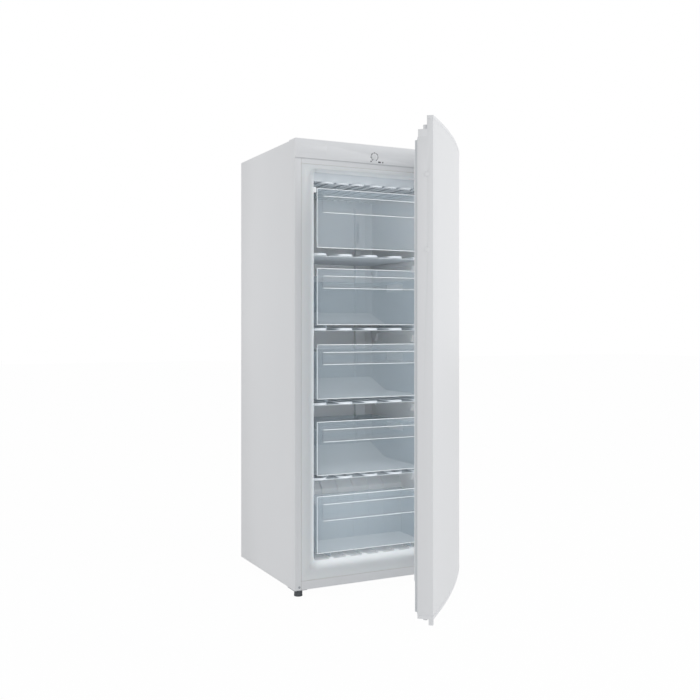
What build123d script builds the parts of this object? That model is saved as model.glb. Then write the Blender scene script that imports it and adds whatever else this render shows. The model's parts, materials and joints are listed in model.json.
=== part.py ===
"""Upright freezer with a single hinged door, four drawers and a fast-freeze flap.

Millimetres.  X runs to the right, Y runs back from the cabinet's front plane, Z is up
from the floor.  The door is built closed and then turned to the angle it stands open at.
At the end everything is moved so that the origin lies under the middle of the whole part.
"""
import math
import os

from build123d import *

# ---------------------------------------------------------------- driving dimensions
CABINET_WIDTH = 600.0
CABINET_HEIGHT = 1500.0  # floor to the top of the control panel
CABINET_DEPTH = 507.0  # front plane to back panel
FLOOR_GAP = 23.0  # floor to the underside of the cabinet
SHEET = 0.8  # painted steel sheet
RUNNING = 0.05  # radial clearance of a shaft that turns in a bore
SEAT = 0.3  # gap where a loose piece rests on another

SIDE_FLANGE = 23.7  # side panel folded round the front
TOP_RAIL = 17.4
BOTTOM_RAIL = 29.0
SEAM = 0.6  # gap between the steel front and the liner
PANEL_HEIGHT = 63.0  # control panel
PANEL_PROUD = 6.0
PANEL_LIP = 3.0
PANEL_WALL = 2.5
PANEL_ROUND = 1.5
CONTROL_DEPTH = 48.0  # hollow behind the control panel

LINER = 2.0
SIDE_WALL = 76.0  # cabinet side to the cold space
BACK_WALL = 60.0  # back panel to the cold space
FLOOR_WALL = 85.6  # cabinet underside to the cold space
CEILING_WALL = 100.0  # cabinet top to the cold space
CAVITY_CORNER = 12.0
MOUTH_FLARE = 23.0  # mouth wider than the cold space on each side
MOUTH_FALL = 27.6
MOUTH_RISE = 6.0
MOUTH_DEPTH = 18.0
BAY_DEPTH = 292.0  # back panel to the front of the compressor step
STEP_RISE = 256.4  # floor of the cold space to the top of the step
STEP_BEVEL = 60.0
RIB_WIDTH = 18.0
RIB_HEIGHT = 3.0
RIB_PITCH = 62.5
RIB_COUNT = 6
RIB_START = 4.0  # rib's front behind the flared mouth
RIB_BEND = 24.0  # radius of a rib where it climbs the step
RIB_SINK = 1.0  # how far ribs and ledges reach into the liner's wall

SHELF_COUNT = 4
SHELF_OVER_STEP = 11.0  # lowest shelf's tubes above the step
TOP_COMPARTMENT = 274.0  # highest shelf's tubes to the top of the cold space
TUBE = 4.0  # evaporator tube radius
TUBE_MARGIN = 3.25  # outermost tube in from the shelf's side
TUBE_LEGS = 10
TUBE_GAP = 0.2
SHELF_PLATE = 1.2
SHELF_SIDE_GAP = 2.5
SHELF_BACK_GAP = 19.0
SHELF_FRONT = 34.0
TUBE_FRONT = 24.0
TUBE_BACK_INSET = 6.0  # rear bends in from the shelf's back
LEDGE_REACH = 11.0
LEDGE_HEIGHT = 16.0
LEDGE_FRONT = 40.0
LEDGE_END = 8.0  # ledge runs on behind the shelf
LEDGE_TAB = 26.0
LEDGE_TAB_FRONT = 118.0
LEDGE_TAB_LENGTH = 40.0
LEDGE_TAB_TAPER = 10.0
TOP_TUBE_DROP = 33.0
TOP_BEND_COUNT = 7
TOP_BEND_WIDTH = 38.0
TOP_LEFT_MARGIN = 60.0  # cold space's wall to the first bend
TOP_RIGHT_MARGIN = 31.0
TOP_MIDDLE_GAP = 15.0  # extra room between the third bend and the fourth
TOP_PLATE_GAP = 9.0
HANGER = 8.0  # half the width of a block that the top plate hangs from
HANGER_INSET = 25.0
HANGER_END = 40.0

CHASE_INSET = 80.0
CHASE_WIDTH = 40.0
CHASE_REACH = 16.0
CHASE_WALL = 1.5
CHASE_DROP = 20.0
CHASE_SLOT_WIDTH = 14.0
CHASE_SLOT_RISE = 82.0
CHASE_SLOT_HEIGHT = 78.0
RISER = 3.0
RISER_DROP = 4.0

FRONT_SIDE_GAP = 14.0  # drawer fronts and flap to the cold space's wall
FRONT_FACE = 25.0
FRONT_WALL = 3.0
GRIP_PROUD = 7.5
GRIP_INSET = 20.0
FRONT_CORNER = 6.0
TUB_INSET = 4.0
TUB_WALL = 2.2
TUB_BACK_GAP = 22.0
TUB_SLOPE_RUN = 125.0
TUB_SLOPE_RISE = 45.0
TUB_RIM = 4.0
TUB_RIM_DROP = 26.0  # tub rim below the top of the front
STEP_GAP = 20.0  # bottom drawer to the step
SLOT_FRONT = 172.0
SLOT_LENGTH = 124.0
SLOT_HEIGHT = 27.0
SLOT_DROP = 12.0
RUNNER_WIDTH = 6.0
RUNNER_FRONT = 6.0
RUNNER_BACK = 10.0
DRAWER_RISES = {"bottom": 19.4, "lower": 11.0, "middle": 16.0, "upper": 14.0}  # above what carries it
DRAWER_DROPS = {"bottom": 58.0, "lower": 59.0, "middle": 51.0, "upper": 46.0}  # below the shelf over it
GRIP_DROP = 25.5  # top of the grip below the top of the front
GRIP_HEIGHT = 42.5
DEEP_GRIP_HEIGHT = 56.5
FLAP_RISE = 22.0
FLAP_DROP = 54.0
FLAP_PIVOT_DROP = 7.0
FLAP_PIN = 3.0
FLAP_PIN_ROOT = 8.0
FLAP_PIN_GAP = 2.0
EAR_WIDTH = 10.0
EAR_FRONT = 7.0
EAR_BACK = 12.0
EAR_HALF_HEIGHT = 9.0

DOOR_MARGIN = 0.0  # cabinet's side to the door's side
DOOR_RAISE = 14.0
DOOR_DROP = 3.0
DOOR_BACK = 10.5  # door's back edge, in front of the front plane
DOOR_EDGE = 56.0  # front of the door at its two edges
DOOR_BOW = 15.0
DOOR_ANGLE = 49.4  # how far the door stands open
DOOR_RETURN = 14.0
CAP_BAND = 9.0
CAP_OVERHANG = 0.6
CAP_WALL = 2.5
CAP_RIM = 3.5
CAP_BACK = 12.0
LIP_BACK = 38.2  # back of the lip that covers the control panel
LEDGE_DROP = 42.0  # cabinet top to the cap's ledge
LEDGE_UNDERLAP = 1.0  # cap's ledge below the control panel
HINGE_INSET = 15.0
HINGE_FORWARD = 31.0
HINGE_PIN = 3.0
BUSH_WALL = 1.95
BUSH_STOP = 3.0
SOCKET_WALL = 1.5
SOCKET_PROUD = 14.4
BOTTOM_SOCKET_PROUD = 6.0
SOCKET_DEPTH = 20.0
SOCKET_FLOOR = 2.0
LUG_LENGTH = 12.0
LUG_THICK = 13.0
LUG_DROP = 17.0
DOOR_LINER_INSET = 7.0
DOOR_LINER_LAP = 1.0  # door liner beyond the gasket
GASKET_FRONT = 0.5
GASKET_WIDTH = 18.0
GASKET_INSET = 12.0
GASKET_LAP = 5.0  # gasket's lower edge over the bottom rail
GASKET_DROP = 3.5
GASKET_FOOT = 1.6
GASKET_BEAD = 12.0
GASKET_CORNER = 6.0
MAGNET_WIDTH = 7.0
MAGNET_DEPTH = 2.4
MAGNET_COVER = 0.8
PLUG_CLEARANCE = 9.0
PLUG_END_CLEARANCE = 8.0
PLUG_CORNER = 14.0
PLUG_DRAFT = 10.0
PLUG_REACH = 14.0
PLUG_RECESS = 8.0
PLUG_BORDER = 42.0
EDGE_PLUG_DROPS = [389.0, 170.0]
EDGE_PLUG = 7.0
EDGE_PLUG_PROUD = 2.5
EDGE_PLUG_STEM = 3.0
EDGE_PLUG_DEPTH = 11.0
PLUG_FIT = 0.1
PLUG_END_GAP = 1.0

BADGE_INSET = 7.6
BADGE_WIDTH = 105.0
BADGE_HEIGHT = 26.0
BADGE_RISE = 17.0
BADGE_THICK = 0.6
BADGE_CORNER = 2.0
KNOB_X = -8.4
KNOB_RISE = 23.6
KNOB = 10.5
KNOB_THICK = 2.7
KNOB_HUB = 6.0
HUB_CLEARANCE = 0.4
SHAFT = 3.0
SHAFT_SHORT = 1.4  # shaft's end behind the knob's face
SHAFT_BORE = 1.2
POINTER_WIDTH = 2.0
POINTER_LENGTH = 14.0
POINTER_DEPTH = 1.0
THERMOSTAT_WIDTH = 44.0
THERMOSTAT_RISE = 19.2
THERMOSTAT_FALL = 12.8
THERMOSTAT_DEPTH = 29.5

BAY_WALL = 47.0  # insulation between the cold space and the compressor bay
BAY_SHEET = 1.0
BASE_INSET = 38.0
BASE_SHEET = 2.0
BASE_BACK_HEIGHT = 40.0
BASE_FRONT_HEIGHT = 14.0
GLAND = 8.0
GLAND_BORE = 3.8
GLAND_FLANGE = 3.0
GLAND_LENGTH = 8.0
GLAND_PROUD = 4.0
GLAND_FLANGE_THICK = 2.5
GLAND_INSET = 100.0
GLAND_RISE = 22.0
COMPRESSOR_X = 40.0
COMPRESSOR_BACK = 112.0
COMPRESSOR_LONG = 88.0
COMPRESSOR_SHORT = 70.0
COMPRESSOR_HEIGHT = 165.0
COMPRESSOR_RAISE = 8.0
COMPRESSOR_CROWN = 34.0
COMPRESSOR_BASE_ROUND = 14.0
SEAM_BAND = 2.5
SEAM_RISE = 90.75
SEAM_HEIGHT = 5.0
MOUNT_X = 78.0
MOUNT_Y = 50.0
MOUNT_PLATE_LAP = 17.0
MOUNT_PLATE_WIDTH = 28.0
MOUNT_PLATE_CORNER = 8.0
MOUNT_PLATE = 2.5
MOUNT_BORE = 4.0
GROMMET = 10.0
GROMMET_HEAD = 7.0
GROMMET_NECK = 3.5
GROMMET_HEIGHT = 12.0
RELAY_DEPTH = 30.0
RELAY_HALF_WIDTH = 26.0
RELAY_RISE = 40.0
RELAY_HEIGHT = 72.0
RELAY_ROUND = 5.0
CONDENSER_GAP = 25.0
CONDENSER_TUBE = 2.5
CONDENSER_PITCH = 60.0
CONDENSER_RAISE = 42.0
CONDENSER_TOP_MARGIN = 60.0
CONDENSER_SIDE_MARGIN = 90.0
CONDENSER_TAIL = 30.0  # tube ends below the lowest row
TAIL_BEND = 12.0
WIRE = 0.8
WIRE_COUNT = 35
WIRE_MARGIN = 30.0
WIRE_OVERRUN = 10.0
STANDOFF = 0.1
BRACKET_INSET = 58.8
BRACKET_HALF_WIDTH = 9.0
BRACKET_HALF_HEIGHT = 7.0
DRIER_OUT = 30.0
DRIER_BACK = 37.0
DRIER_DROP = 60.0
DRIER = 8.0
DRIER_LENGTH = 100.0
DRIER_ROUND = 4.0
DISCHARGE_RISE = 87.0
SUCTION_RISE = 77.0
SUCTION_REACH = 26.0
SUCTION_TUBE = 4.0
CAPILLARY = 1.2
LINE_BEND = 20.0
DRIER_BEND = 14.0
SUCTION_BEND = 12.0
LINE_GAP = 0.1

FOOT = 14.0
FOOT_INSET = 22.0
FOOT_STEM = 4.0
FOOT_RIM = 4.0
FOOT_WAIST = 2.0
FOOT_GRIPS = 12
FOOT_GRIP = 1.6
INSERT = 8.0
INSERT_RISE = 22.0
INSERT_ROOF = 2.0
STEM_CLEARANCE = 0.5
PLATE = 3.0  # corner bracket plates
PLATE_WIDTH = 46.0
PLATE_INSET = 1.0
PLATE_FRONT = 4.0
PLATE_BACK = 62.0
PIVOT_EYE = 12.0
PIVOT_COLLAR = 5.5
ARM_EYE = 6.5
ARM_OUTSET = 25.0
ARM_WIDTH = 35.0
ARM_GAP = 2.0
ARM_CLEARANCE = 1.0
ARM_BACK = 44.0
ROLLER = 10.0
ROLLER_WIDTH = 16.0
ROLLER_ROUND = 1.5
ROLLER_AXLE = 3.0
ROLLER_INSET = 50.0
ROLLER_BACK = 27.0
ROLLER_GAP = 1.0
CHEEK = 2.0
CHEEK_HALF = 7.0
CHEEK_DROP = 6.0
YOKE_HALF = 14.0
SCREW_HEAD = 3.6
SCREW_HEAD_THICK = 1.6
FACE_HEAD_THICK = 1.4
SCREW_SHANK = 1.75
SCREW_LENGTH = 12.0
SCREW_DROP = 9.2
SCREW_INSET = 16.6
PLATE_SCREWS = [(36.0, 44.0), (12.0, 54.0)]  # in from the cabinet's side, back from its front
ARM_SCREWS = [50.0, 34.0]
ARM_SCREW_Y = 18.0

# ---------------------------------------------------------------- derived places
HALF = CABINET_WIDTH / 2
PANEL_BOTTOM = CABINET_HEIGHT - PANEL_HEIGHT
CABINET_TOP = CABINET_HEIGHT - PANEL_LIP
TOP_RAIL_BOTTOM = PANEL_BOTTOM - TOP_RAIL
BOTTOM_RAIL_TOP = FLOOR_GAP + BOTTOM_RAIL
LINER_TOP = TOP_RAIL_BOTTOM - SEAM
FRONT_HALF = HALF - SIDE_FLANGE
INNER_HALF = HALF - SHEET
INNER_BACK = CABINET_DEPTH - SHEET

CAVITY_WIDTH = CABINET_WIDTH - 2 * SIDE_WALL
CAVITY_HALF = CAVITY_WIDTH / 2
CAVITY_BOTTOM = FLOOR_GAP + FLOOR_WALL
CAVITY_TOP = CABINET_HEIGHT - CEILING_WALL
CAVITY_DEPTH = CABINET_DEPTH - BACK_WALL
MOUTH_WIDTH = CAVITY_WIDTH + 2 * MOUTH_FLARE
MOUTH_BOTTOM = CAVITY_BOTTOM - MOUTH_FALL
MOUTH_TOP = CAVITY_TOP + MOUTH_RISE
STEP_FRONT = CABINET_DEPTH - BAY_DEPTH
STEP_TOP = CAVITY_BOTTOM + STEP_RISE
BAY_FRONT = STEP_FRONT + BAY_WALL
BAY_TOP = STEP_TOP - BAY_WALL
RIB_XS = [RIB_PITCH * (i - (RIB_COUNT - 1) / 2) for i in range(RIB_COUNT)]

SHELF_WIDTH = CAVITY_WIDTH - 2 * SHELF_SIDE_GAP
SHELF_BACK = CAVITY_DEPTH - SHELF_BACK_GAP
FIRST_SHELF = STEP_TOP + SHELF_OVER_STEP
SHELF_PITCH = (CAVITY_TOP - TOP_COMPARTMENT - FIRST_SHELF) / (SHELF_COUNT - 1)
SHELF_LEVELS = [FIRST_SHELF + i * SHELF_PITCH for i in range(SHELF_COUNT)]  # tube centres
TUBE_PITCH = (SHELF_WIDTH - 2 * TUBE_MARGIN) / (TUBE_LEGS - 1)
LEG_XS = [TUBE_PITCH * (i - (TUBE_LEGS - 1) / 2) for i in range(TUBE_LEGS)]
PLATE_DROP = TUBE + TUBE_GAP + SHELF_PLATE  # tube centre to the underside of its plate
TOP_LEVEL = CAVITY_TOP - TOP_TUBE_DROP
TOP_SPAN = CAVITY_WIDTH - TOP_LEFT_MARGIN - TOP_RIGHT_MARGIN - TOP_MIDDLE_GAP
TOP_PITCH = TOP_SPAN / (TOP_BEND_COUNT - 1)
TOP_BENDS = [
    -CAVITY_HALF + TOP_LEFT_MARGIN + i * TOP_PITCH + (TOP_MIDDLE_GAP if 2 * i >= TOP_BEND_COUNT - 1 else 0)
    for i in range(TOP_BEND_COUNT)
]
CHASE_LEFT = CAVITY_HALF - CHASE_INSET

FRONT_WIDTH = CAVITY_WIDTH - 2 * FRONT_SIDE_GAP
GRIP_WIDTH = FRONT_WIDTH - 2 * GRIP_INSET
TUB_WIDTH = FRONT_WIDTH - 2 * TUB_INSET
TUB_BACK = CAVITY_DEPTH - TUB_BACK_GAP
TUB_SLOPE_FRONT = TUB_BACK - TUB_SLOPE_RUN
BOTTOM_TUB_BACK = STEP_FRONT - STEP_GAP
DRAWER_SEATS = dict(zip(DRAWER_RISES, [CAVITY_BOTTOM] + SHELF_LEVELS))
DRAWER_ROOFS = dict(zip(DRAWER_RISES, SHELF_LEVELS))
FLAP_BOTTOM = SHELF_LEVELS[-1] + FLAP_RISE
FLAP_TOP = CAVITY_TOP - FLAP_DROP
FLAP_PIVOT = FLAP_TOP - FLAP_PIVOT_DROP
PIVOT_Y = FRONT_FACE + FRONT_WALL

DOOR_HALF = HALF - DOOR_MARGIN
DOOR_BOTTOM = FLOOR_GAP + DOOR_RAISE
DOOR_TOP = CABINET_HEIGHT - DOOR_DROP
LEDGE_TOP = CABINET_HEIGHT - LEDGE_DROP
LEDGE_BOTTOM = PANEL_BOTTOM - LEDGE_UNDERLAP
HINGE_X = DOOR_HALF - HINGE_INSET
BUSH = HINGE_PIN + RUNNING + BUSH_WALL
SOCKET = BUSH + SOCKET_WALL
SOCKET_TOP = LEDGE_TOP + SOCKET_PROUD
SOCKET_BOTTOM = DOOR_BOTTOM - BOTTOM_SOCKET_PROUD
SHEET_BOTTOM = DOOR_BOTTOM + CAP_BAND
SHEET_TOP = DOOR_TOP - CAP_BAND
GASKET_BOTTOM = BOTTOM_RAIL_TOP - GASKET_LAP
GASKET_TOP = PANEL_BOTTOM - GASKET_DROP
PLUG_HALF = CAVITY_HALF - PLUG_CLEARANCE
PLUG_BOTTOM = CAVITY_BOTTOM + PLUG_END_CLEARANCE
PLUG_TOP = CAVITY_TOP - PLUG_END_CLEARANCE
EDGE_PLUG_LEVELS = [DOOR_TOP - drop for drop in EDGE_PLUG_DROPS]

KNOB_Z = PANEL_BOTTOM + KNOB_RISE
KNOB_BACK = PANEL_PROUD + SEAT
BADGE_BOTTOM = PANEL_BOTTOM + BADGE_RISE
ARM_Z = (SOCKET_TOP + ARM_GAP, SOCKET_TOP + ARM_GAP + PLATE)
ARM_X = (HALF - ARM_OUTSET - ARM_WIDTH, HALF - ARM_OUTSET)
PLATE_BOTTOM = FLOOR_GAP - PLATE
FOOT_X = HALF - FOOT_INSET
INSERT_TOP = FLOOR_GAP + INSERT_RISE
BRACKET_SCREWS = [(HALF - inset, y) for inset, y in PLATE_SCREWS]
SCREW_X = HALF - SCREW_INSET
SCREW_Z = FLOOR_GAP + SCREW_DROP
ROLLER_X = HALF - ROLLER_INSET
ROLLER_Y = CABINET_DEPTH - ROLLER_BACK

BASE_FRONT = BAY_FRONT + BASE_INSET
BASE_TOP = FLOOR_GAP + BASE_SHEET
GLAND_X = HALF - GLAND_INSET
GLAND_Z = FLOOR_GAP + GLAND_RISE
COMPRESSOR_Y = CABINET_DEPTH - COMPRESSOR_BACK
SHELL_BOTTOM = BASE_TOP + COMPRESSOR_RAISE
MOUNTS = [(COMPRESSOR_X + sx * MOUNT_X, COMPRESSOR_Y + sy * MOUNT_Y) for sx in (-1, 1) for sy in (-1, 1)]
CONDENSER_Y = CABINET_DEPTH + CONDENSER_GAP
CONDENSER_HALF = HALF - CONDENSER_SIDE_MARGIN
CONDENSER_BOTTOM = BAY_TOP + CONDENSER_RAISE
CONDENSER_ROOM = CABINET_HEIGHT - CONDENSER_TOP_MARGIN - CONDENSER_BOTTOM
CONDENSER_ROWS = 2 * int(CONDENSER_ROOM / (2 * CONDENSER_PITCH)) + 1  # odd, so that it ends on the left
CONDENSER_TOP = CONDENSER_BOTTOM + CONDENSER_PITCH * (CONDENSER_ROWS - 1)
TAIL_Z = CONDENSER_BOTTOM - CONDENSER_TAIL
DRIER_X = -CONDENSER_HALF - DRIER_OUT
DRIER_Y = CABINET_DEPTH - DRIER_BACK
DRIER_TOP = BAY_TOP - DRIER_DROP

pieces = {}  # node name -> finished part
door_pieces = []  # names of the nodes that turn with the door


# ---------------------------------------------------------------- helpers
def block(x, y, z, mode=Mode.ADD):
    """Add a box that spans the three (low, high) pairs."""
    middle = ((x[0] + x[1]) / 2, (y[0] + y[1]) / 2, (z[0] + z[1]) / 2)
    with Locations(middle):
        Box(x[1] - x[0], y[1] - y[0], z[1] - z[0], mode=mode)


def cut(x, y, z):
    """Take away a box that spans the three (low, high) pairs."""
    block(x, y, z, mode=Mode.SUBTRACT)


def upright(x, y, z, radius, mode=Mode.ADD):
    """Add a round bar along Z from z[0] to z[1]."""
    with Locations((x, y, (z[0] + z[1]) / 2)):
        Cylinder(radius, z[1] - z[0], mode=mode)


def crosswise(x, y, z, radius, mode=Mode.ADD):
    """Add a round bar along X from x[0] to x[1]."""
    with Locations((((x[0] + x[1]) / 2, y, z))):
        Cylinder(radius, x[1] - x[0], rotation=(0, 90, 0), mode=mode)


def forward(x, y, z, radius, mode=Mode.ADD):
    """Add a round bar along Y from y[0] to y[1]."""
    with Locations((x, (y[0] + y[1]) / 2, z)):
        Cylinder(radius, y[1] - y[0], rotation=(90, 0, 0), mode=mode)


def span(side, near, far):
    """The (low, high) pair between two distances from the middle, on one side."""
    return sorted((side * near, side * far))


def keep(builder, name, on_door=False):
    """Label a finished piece and hold it for export."""
    builder.part.label = name
    pieces[name] = builder.part
    if on_door:
        door_pieces.append(name)


def cold_space(wall):
    """The cold compartment, grown by a wall all round: box, compressor step, flared mouth."""
    bevel = math.tan(math.pi / 8) * wall
    with BuildPart() as space:
        with BuildSketch(Plane.YZ):
            with BuildLine():
                Polyline(
                    (0, CAVITY_BOTTOM - wall),
                    (STEP_FRONT + wall, CAVITY_BOTTOM - wall),
                    (STEP_FRONT + wall, STEP_TOP - STEP_BEVEL - bevel),
                    (STEP_FRONT + STEP_BEVEL + bevel, STEP_TOP - wall),
                    (CAVITY_DEPTH + wall, STEP_TOP - wall),
                    (CAVITY_DEPTH + wall, CAVITY_TOP + wall),
                    (0, CAVITY_TOP + wall),
                    close=True,
                )
            make_face()
        extrude(amount=CAVITY_HALF + wall, both=True)
        long_corners = space.edges().filter_by(Axis.Y).group_by(Axis.Z)
        fillet(long_corners[0] + long_corners[-1], CAVITY_CORNER + wall)
        mouth_size = (MOUTH_WIDTH + 2 * wall, MOUTH_TOP - MOUTH_BOTTOM + 2 * wall)
        throat_size = (CAVITY_WIDTH + 2 * wall, CAVITY_TOP - CAVITY_BOTTOM + 2 * wall)
        with BuildSketch(Plane.XZ):
            with Locations((0, (MOUTH_TOP + MOUTH_BOTTOM) / 2)):
                RectangleRounded(*mouth_size, 2 * CAVITY_CORNER + wall)
        with BuildSketch(Plane.XZ.offset(-MOUTH_DEPTH)):
            with Locations((0, (CAVITY_TOP + CAVITY_BOTTOM) / 2)):
                RectangleRounded(*throat_size, CAVITY_CORNER + wall)
        loft()
    return space.part


def door_outline(inset):
    """The door seen from above, with its bowed front, drawn in by an inset."""
    half = DOOR_HALF - inset
    edge = DOOR_EDGE - inset
    back = DOOR_BACK + max(inset, 0)
    with BuildSketch() as outline:
        with BuildLine():
            Polyline((half, -edge), (half, -back), (-half, -back), (-half, -edge))
            ThreePointArc((-half, -edge), (0, -edge - DOOR_BOW), (half, -edge))
        make_face()
    return outline.sketch


def ring(inset, width, near, far, mode=Mode.ADD):
    """Add a frame in front of the cabinet, in from the seal's outline, between two distances forward."""
    length = GASKET_TOP - GASKET_BOTTOM - 2 * inset
    breadth = 2 * (DOOR_HALF - GASKET_INSET - inset)
    with BuildSketch(Plane.XZ.offset(near)) as frame:
        with Locations((0, (GASKET_BOTTOM + GASKET_TOP) / 2)):
            RectangleRounded(breadth, length, GASKET_CORNER)
            RectangleRounded(breadth - 2 * width, length - 2 * width, GASKET_CORNER / 2, mode=Mode.SUBTRACT)
    extrude(frame.sketch, amount=far - near, mode=mode)


def swept_tube(points, radii, radius):
    """Sweep a round tube along straight runs joined by arcs."""
    with BuildLine() as path:
        FilletPolyline(*points, radius=radii)
    with BuildSketch(Plane(origin=path.line @ 0, z_dir=path.line % 0)) as section:
        Circle(radius)
    sweep(section.sketch, path=path.line)


def serpentine_points(legs, level):
    """Corners of a flat serpentine whose legs run front to back and whose ends meet the back wall."""
    last = CAVITY_DEPTH - SEAT
    points = [(legs[0], last, level)]
    at_front = True
    for left, right in zip(legs, legs[1:]):
        depth = TUBE_FRONT if at_front else SHELF_BACK - TUBE_BACK_INSET
        points += [(left, depth, level), (right, depth, level)]
        at_front = not at_front
    points.append((legs[-1], last, level))
    return points


def bend_radii(legs):
    """Two equal arcs for each bend, a little under half the distance between its legs."""
    radii = []
    for left, right in zip(legs, legs[1:]):
        radii += [0.49 * (right - left)] * 2
    return radii


# ---------------------------------------------------------------- cabinet shell
space = cold_space(0)
liner_space = cold_space(LINER)
shell_x = (-INNER_HALF, INNER_HALF)
front_x = (-FRONT_HALF + SEAM, FRONT_HALF - SEAM)

for side, name in ((-1, "side_panel_left"), (1, "side_panel_right")):
    with BuildPart() as side_panel:
        block(span(side, INNER_HALF, HALF), (0, CABINET_DEPTH), (FLOOR_GAP, CABINET_TOP))
        block(span(side, FRONT_HALF, HALF), (0, SHEET), (FLOOR_GAP, CABINET_TOP))
        forward(side * SCREW_X, (0, SHEET), SCREW_Z, SCREW_SHANK + RUNNING, mode=Mode.SUBTRACT)
    keep(side_panel, name)

with BuildPart() as top_panel:
    block(shell_x, (CONTROL_DEPTH + SEAT, INNER_BACK), (CABINET_TOP - SHEET, CABINET_TOP))
keep(top_panel, "top_panel")

with BuildPart() as back_panel:
    block(shell_x, (INNER_BACK, CABINET_DEPTH), (BAY_TOP, CABINET_TOP))
keep(back_panel, "back_panel")

with BuildPart() as bay_liner:
    block(shell_x, (BAY_FRONT, BAY_FRONT + BAY_SHEET), (FLOOR_GAP, BAY_TOP))
    block(shell_x, (BAY_FRONT, INNER_BACK), (BAY_TOP - BAY_SHEET, BAY_TOP))
keep(bay_liner, "compressor_bay_liner")

with BuildPart() as base_plate:
    block(shell_x, (SHEET, BAY_FRONT), (FLOOR_GAP, FLOOR_GAP + SHEET))
    for side in (-1, 1):
        upright(side * FOOT_X, FOOT_INSET, (FLOOR_GAP, FLOOR_GAP + SHEET), FOOT_STEM + STEM_CLEARANCE,
                mode=Mode.SUBTRACT)
keep(base_plate, "base_plate")

with BuildPart() as compressor_base:
    base_rear = (INNER_BACK - BASE_SHEET, INNER_BACK)
    block(shell_x, (BASE_FRONT, INNER_BACK), (FLOOR_GAP, BASE_TOP))
    block(shell_x, base_rear, (FLOOR_GAP, FLOOR_GAP + BASE_BACK_HEIGHT))
    block(shell_x, (BASE_FRONT, BASE_FRONT + BASE_SHEET), (FLOOR_GAP, FLOOR_GAP + BASE_FRONT_HEIGHT))
    forward(GLAND_X, base_rear, GLAND_Z, GLAND, mode=Mode.SUBTRACT)
keep(compressor_base, "compressor_base")

with BuildPart() as cord_gland:
    gland_y = (INNER_BACK - GLAND_LENGTH, INNER_BACK + GLAND_PROUD)
    forward(GLAND_X, gland_y, GLAND_Z, GLAND - RUNNING)
    forward(GLAND_X, (INNER_BACK, INNER_BACK + GLAND_FLANGE_THICK), GLAND_Z, GLAND + GLAND_FLANGE)
    forward(GLAND_X, gland_y, GLAND_Z, GLAND_BORE, mode=Mode.SUBTRACT)
keep(cord_gland, "cord_gland")

control_back = CONTROL_DEPTH + SHEET
with BuildPart() as front_rail_top:
    block(front_x, (0, SHEET), (TOP_RAIL_BOTTOM, PANEL_BOTTOM))
    block(front_x, (0, 2 * SHEET), (PANEL_BOTTOM - SHEET, PANEL_BOTTOM))
    block(shell_x, (SHEET, control_back), (PANEL_BOTTOM - SHEET, PANEL_BOTTOM))
    block(shell_x, (CONTROL_DEPTH, control_back), (PANEL_BOTTOM - SHEET, CABINET_TOP - SHEET))
keep(front_rail_top, "front_rail_top")

with BuildPart() as front_rail_bottom:
    block(front_x, (0, SHEET), (FLOOR_GAP, BOTTOM_RAIL_TOP - SEAM))
keep(front_rail_bottom, "front_rail_bottom")

with BuildPart() as foam:
    block(shell_x, (SHEET, INNER_BACK), (FLOOR_GAP + SHEET, CABINET_TOP - SHEET))
    add(liner_space, mode=Mode.SUBTRACT)
    cut(front_x, (0, LINER), (BOTTOM_RAIL_TOP, LINER_TOP))
    cut(shell_x, (BAY_FRONT, CABINET_DEPTH), (FLOOR_GAP, BAY_TOP))
    cut(shell_x, (0, control_back), (PANEL_BOTTOM - SHEET, CABINET_TOP))
    for side in (-1, 1):
        upright(side * FOOT_X, FOOT_INSET, (FLOOR_GAP, INSERT_TOP), INSERT, mode=Mode.SUBTRACT)
        forward(side * SCREW_X, (SHEET, SCREW_LENGTH), SCREW_Z, SCREW_SHANK + RUNNING, mode=Mode.SUBTRACT)
keep(foam, "insulation_foam")

with BuildPart() as foot_inserts:
    for side in (-1, 1):
        upright(side * FOOT_X, FOOT_INSET, (FLOOR_GAP + SHEET, INSERT_TOP), INSERT)
        upright(side * FOOT_X, FOOT_INSET, (FLOOR_GAP + SHEET, INSERT_TOP - INSERT_ROOF), FOOT_STEM + RUNNING,
                mode=Mode.SUBTRACT)
keep(foot_inserts, "foot_inserts")

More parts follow.
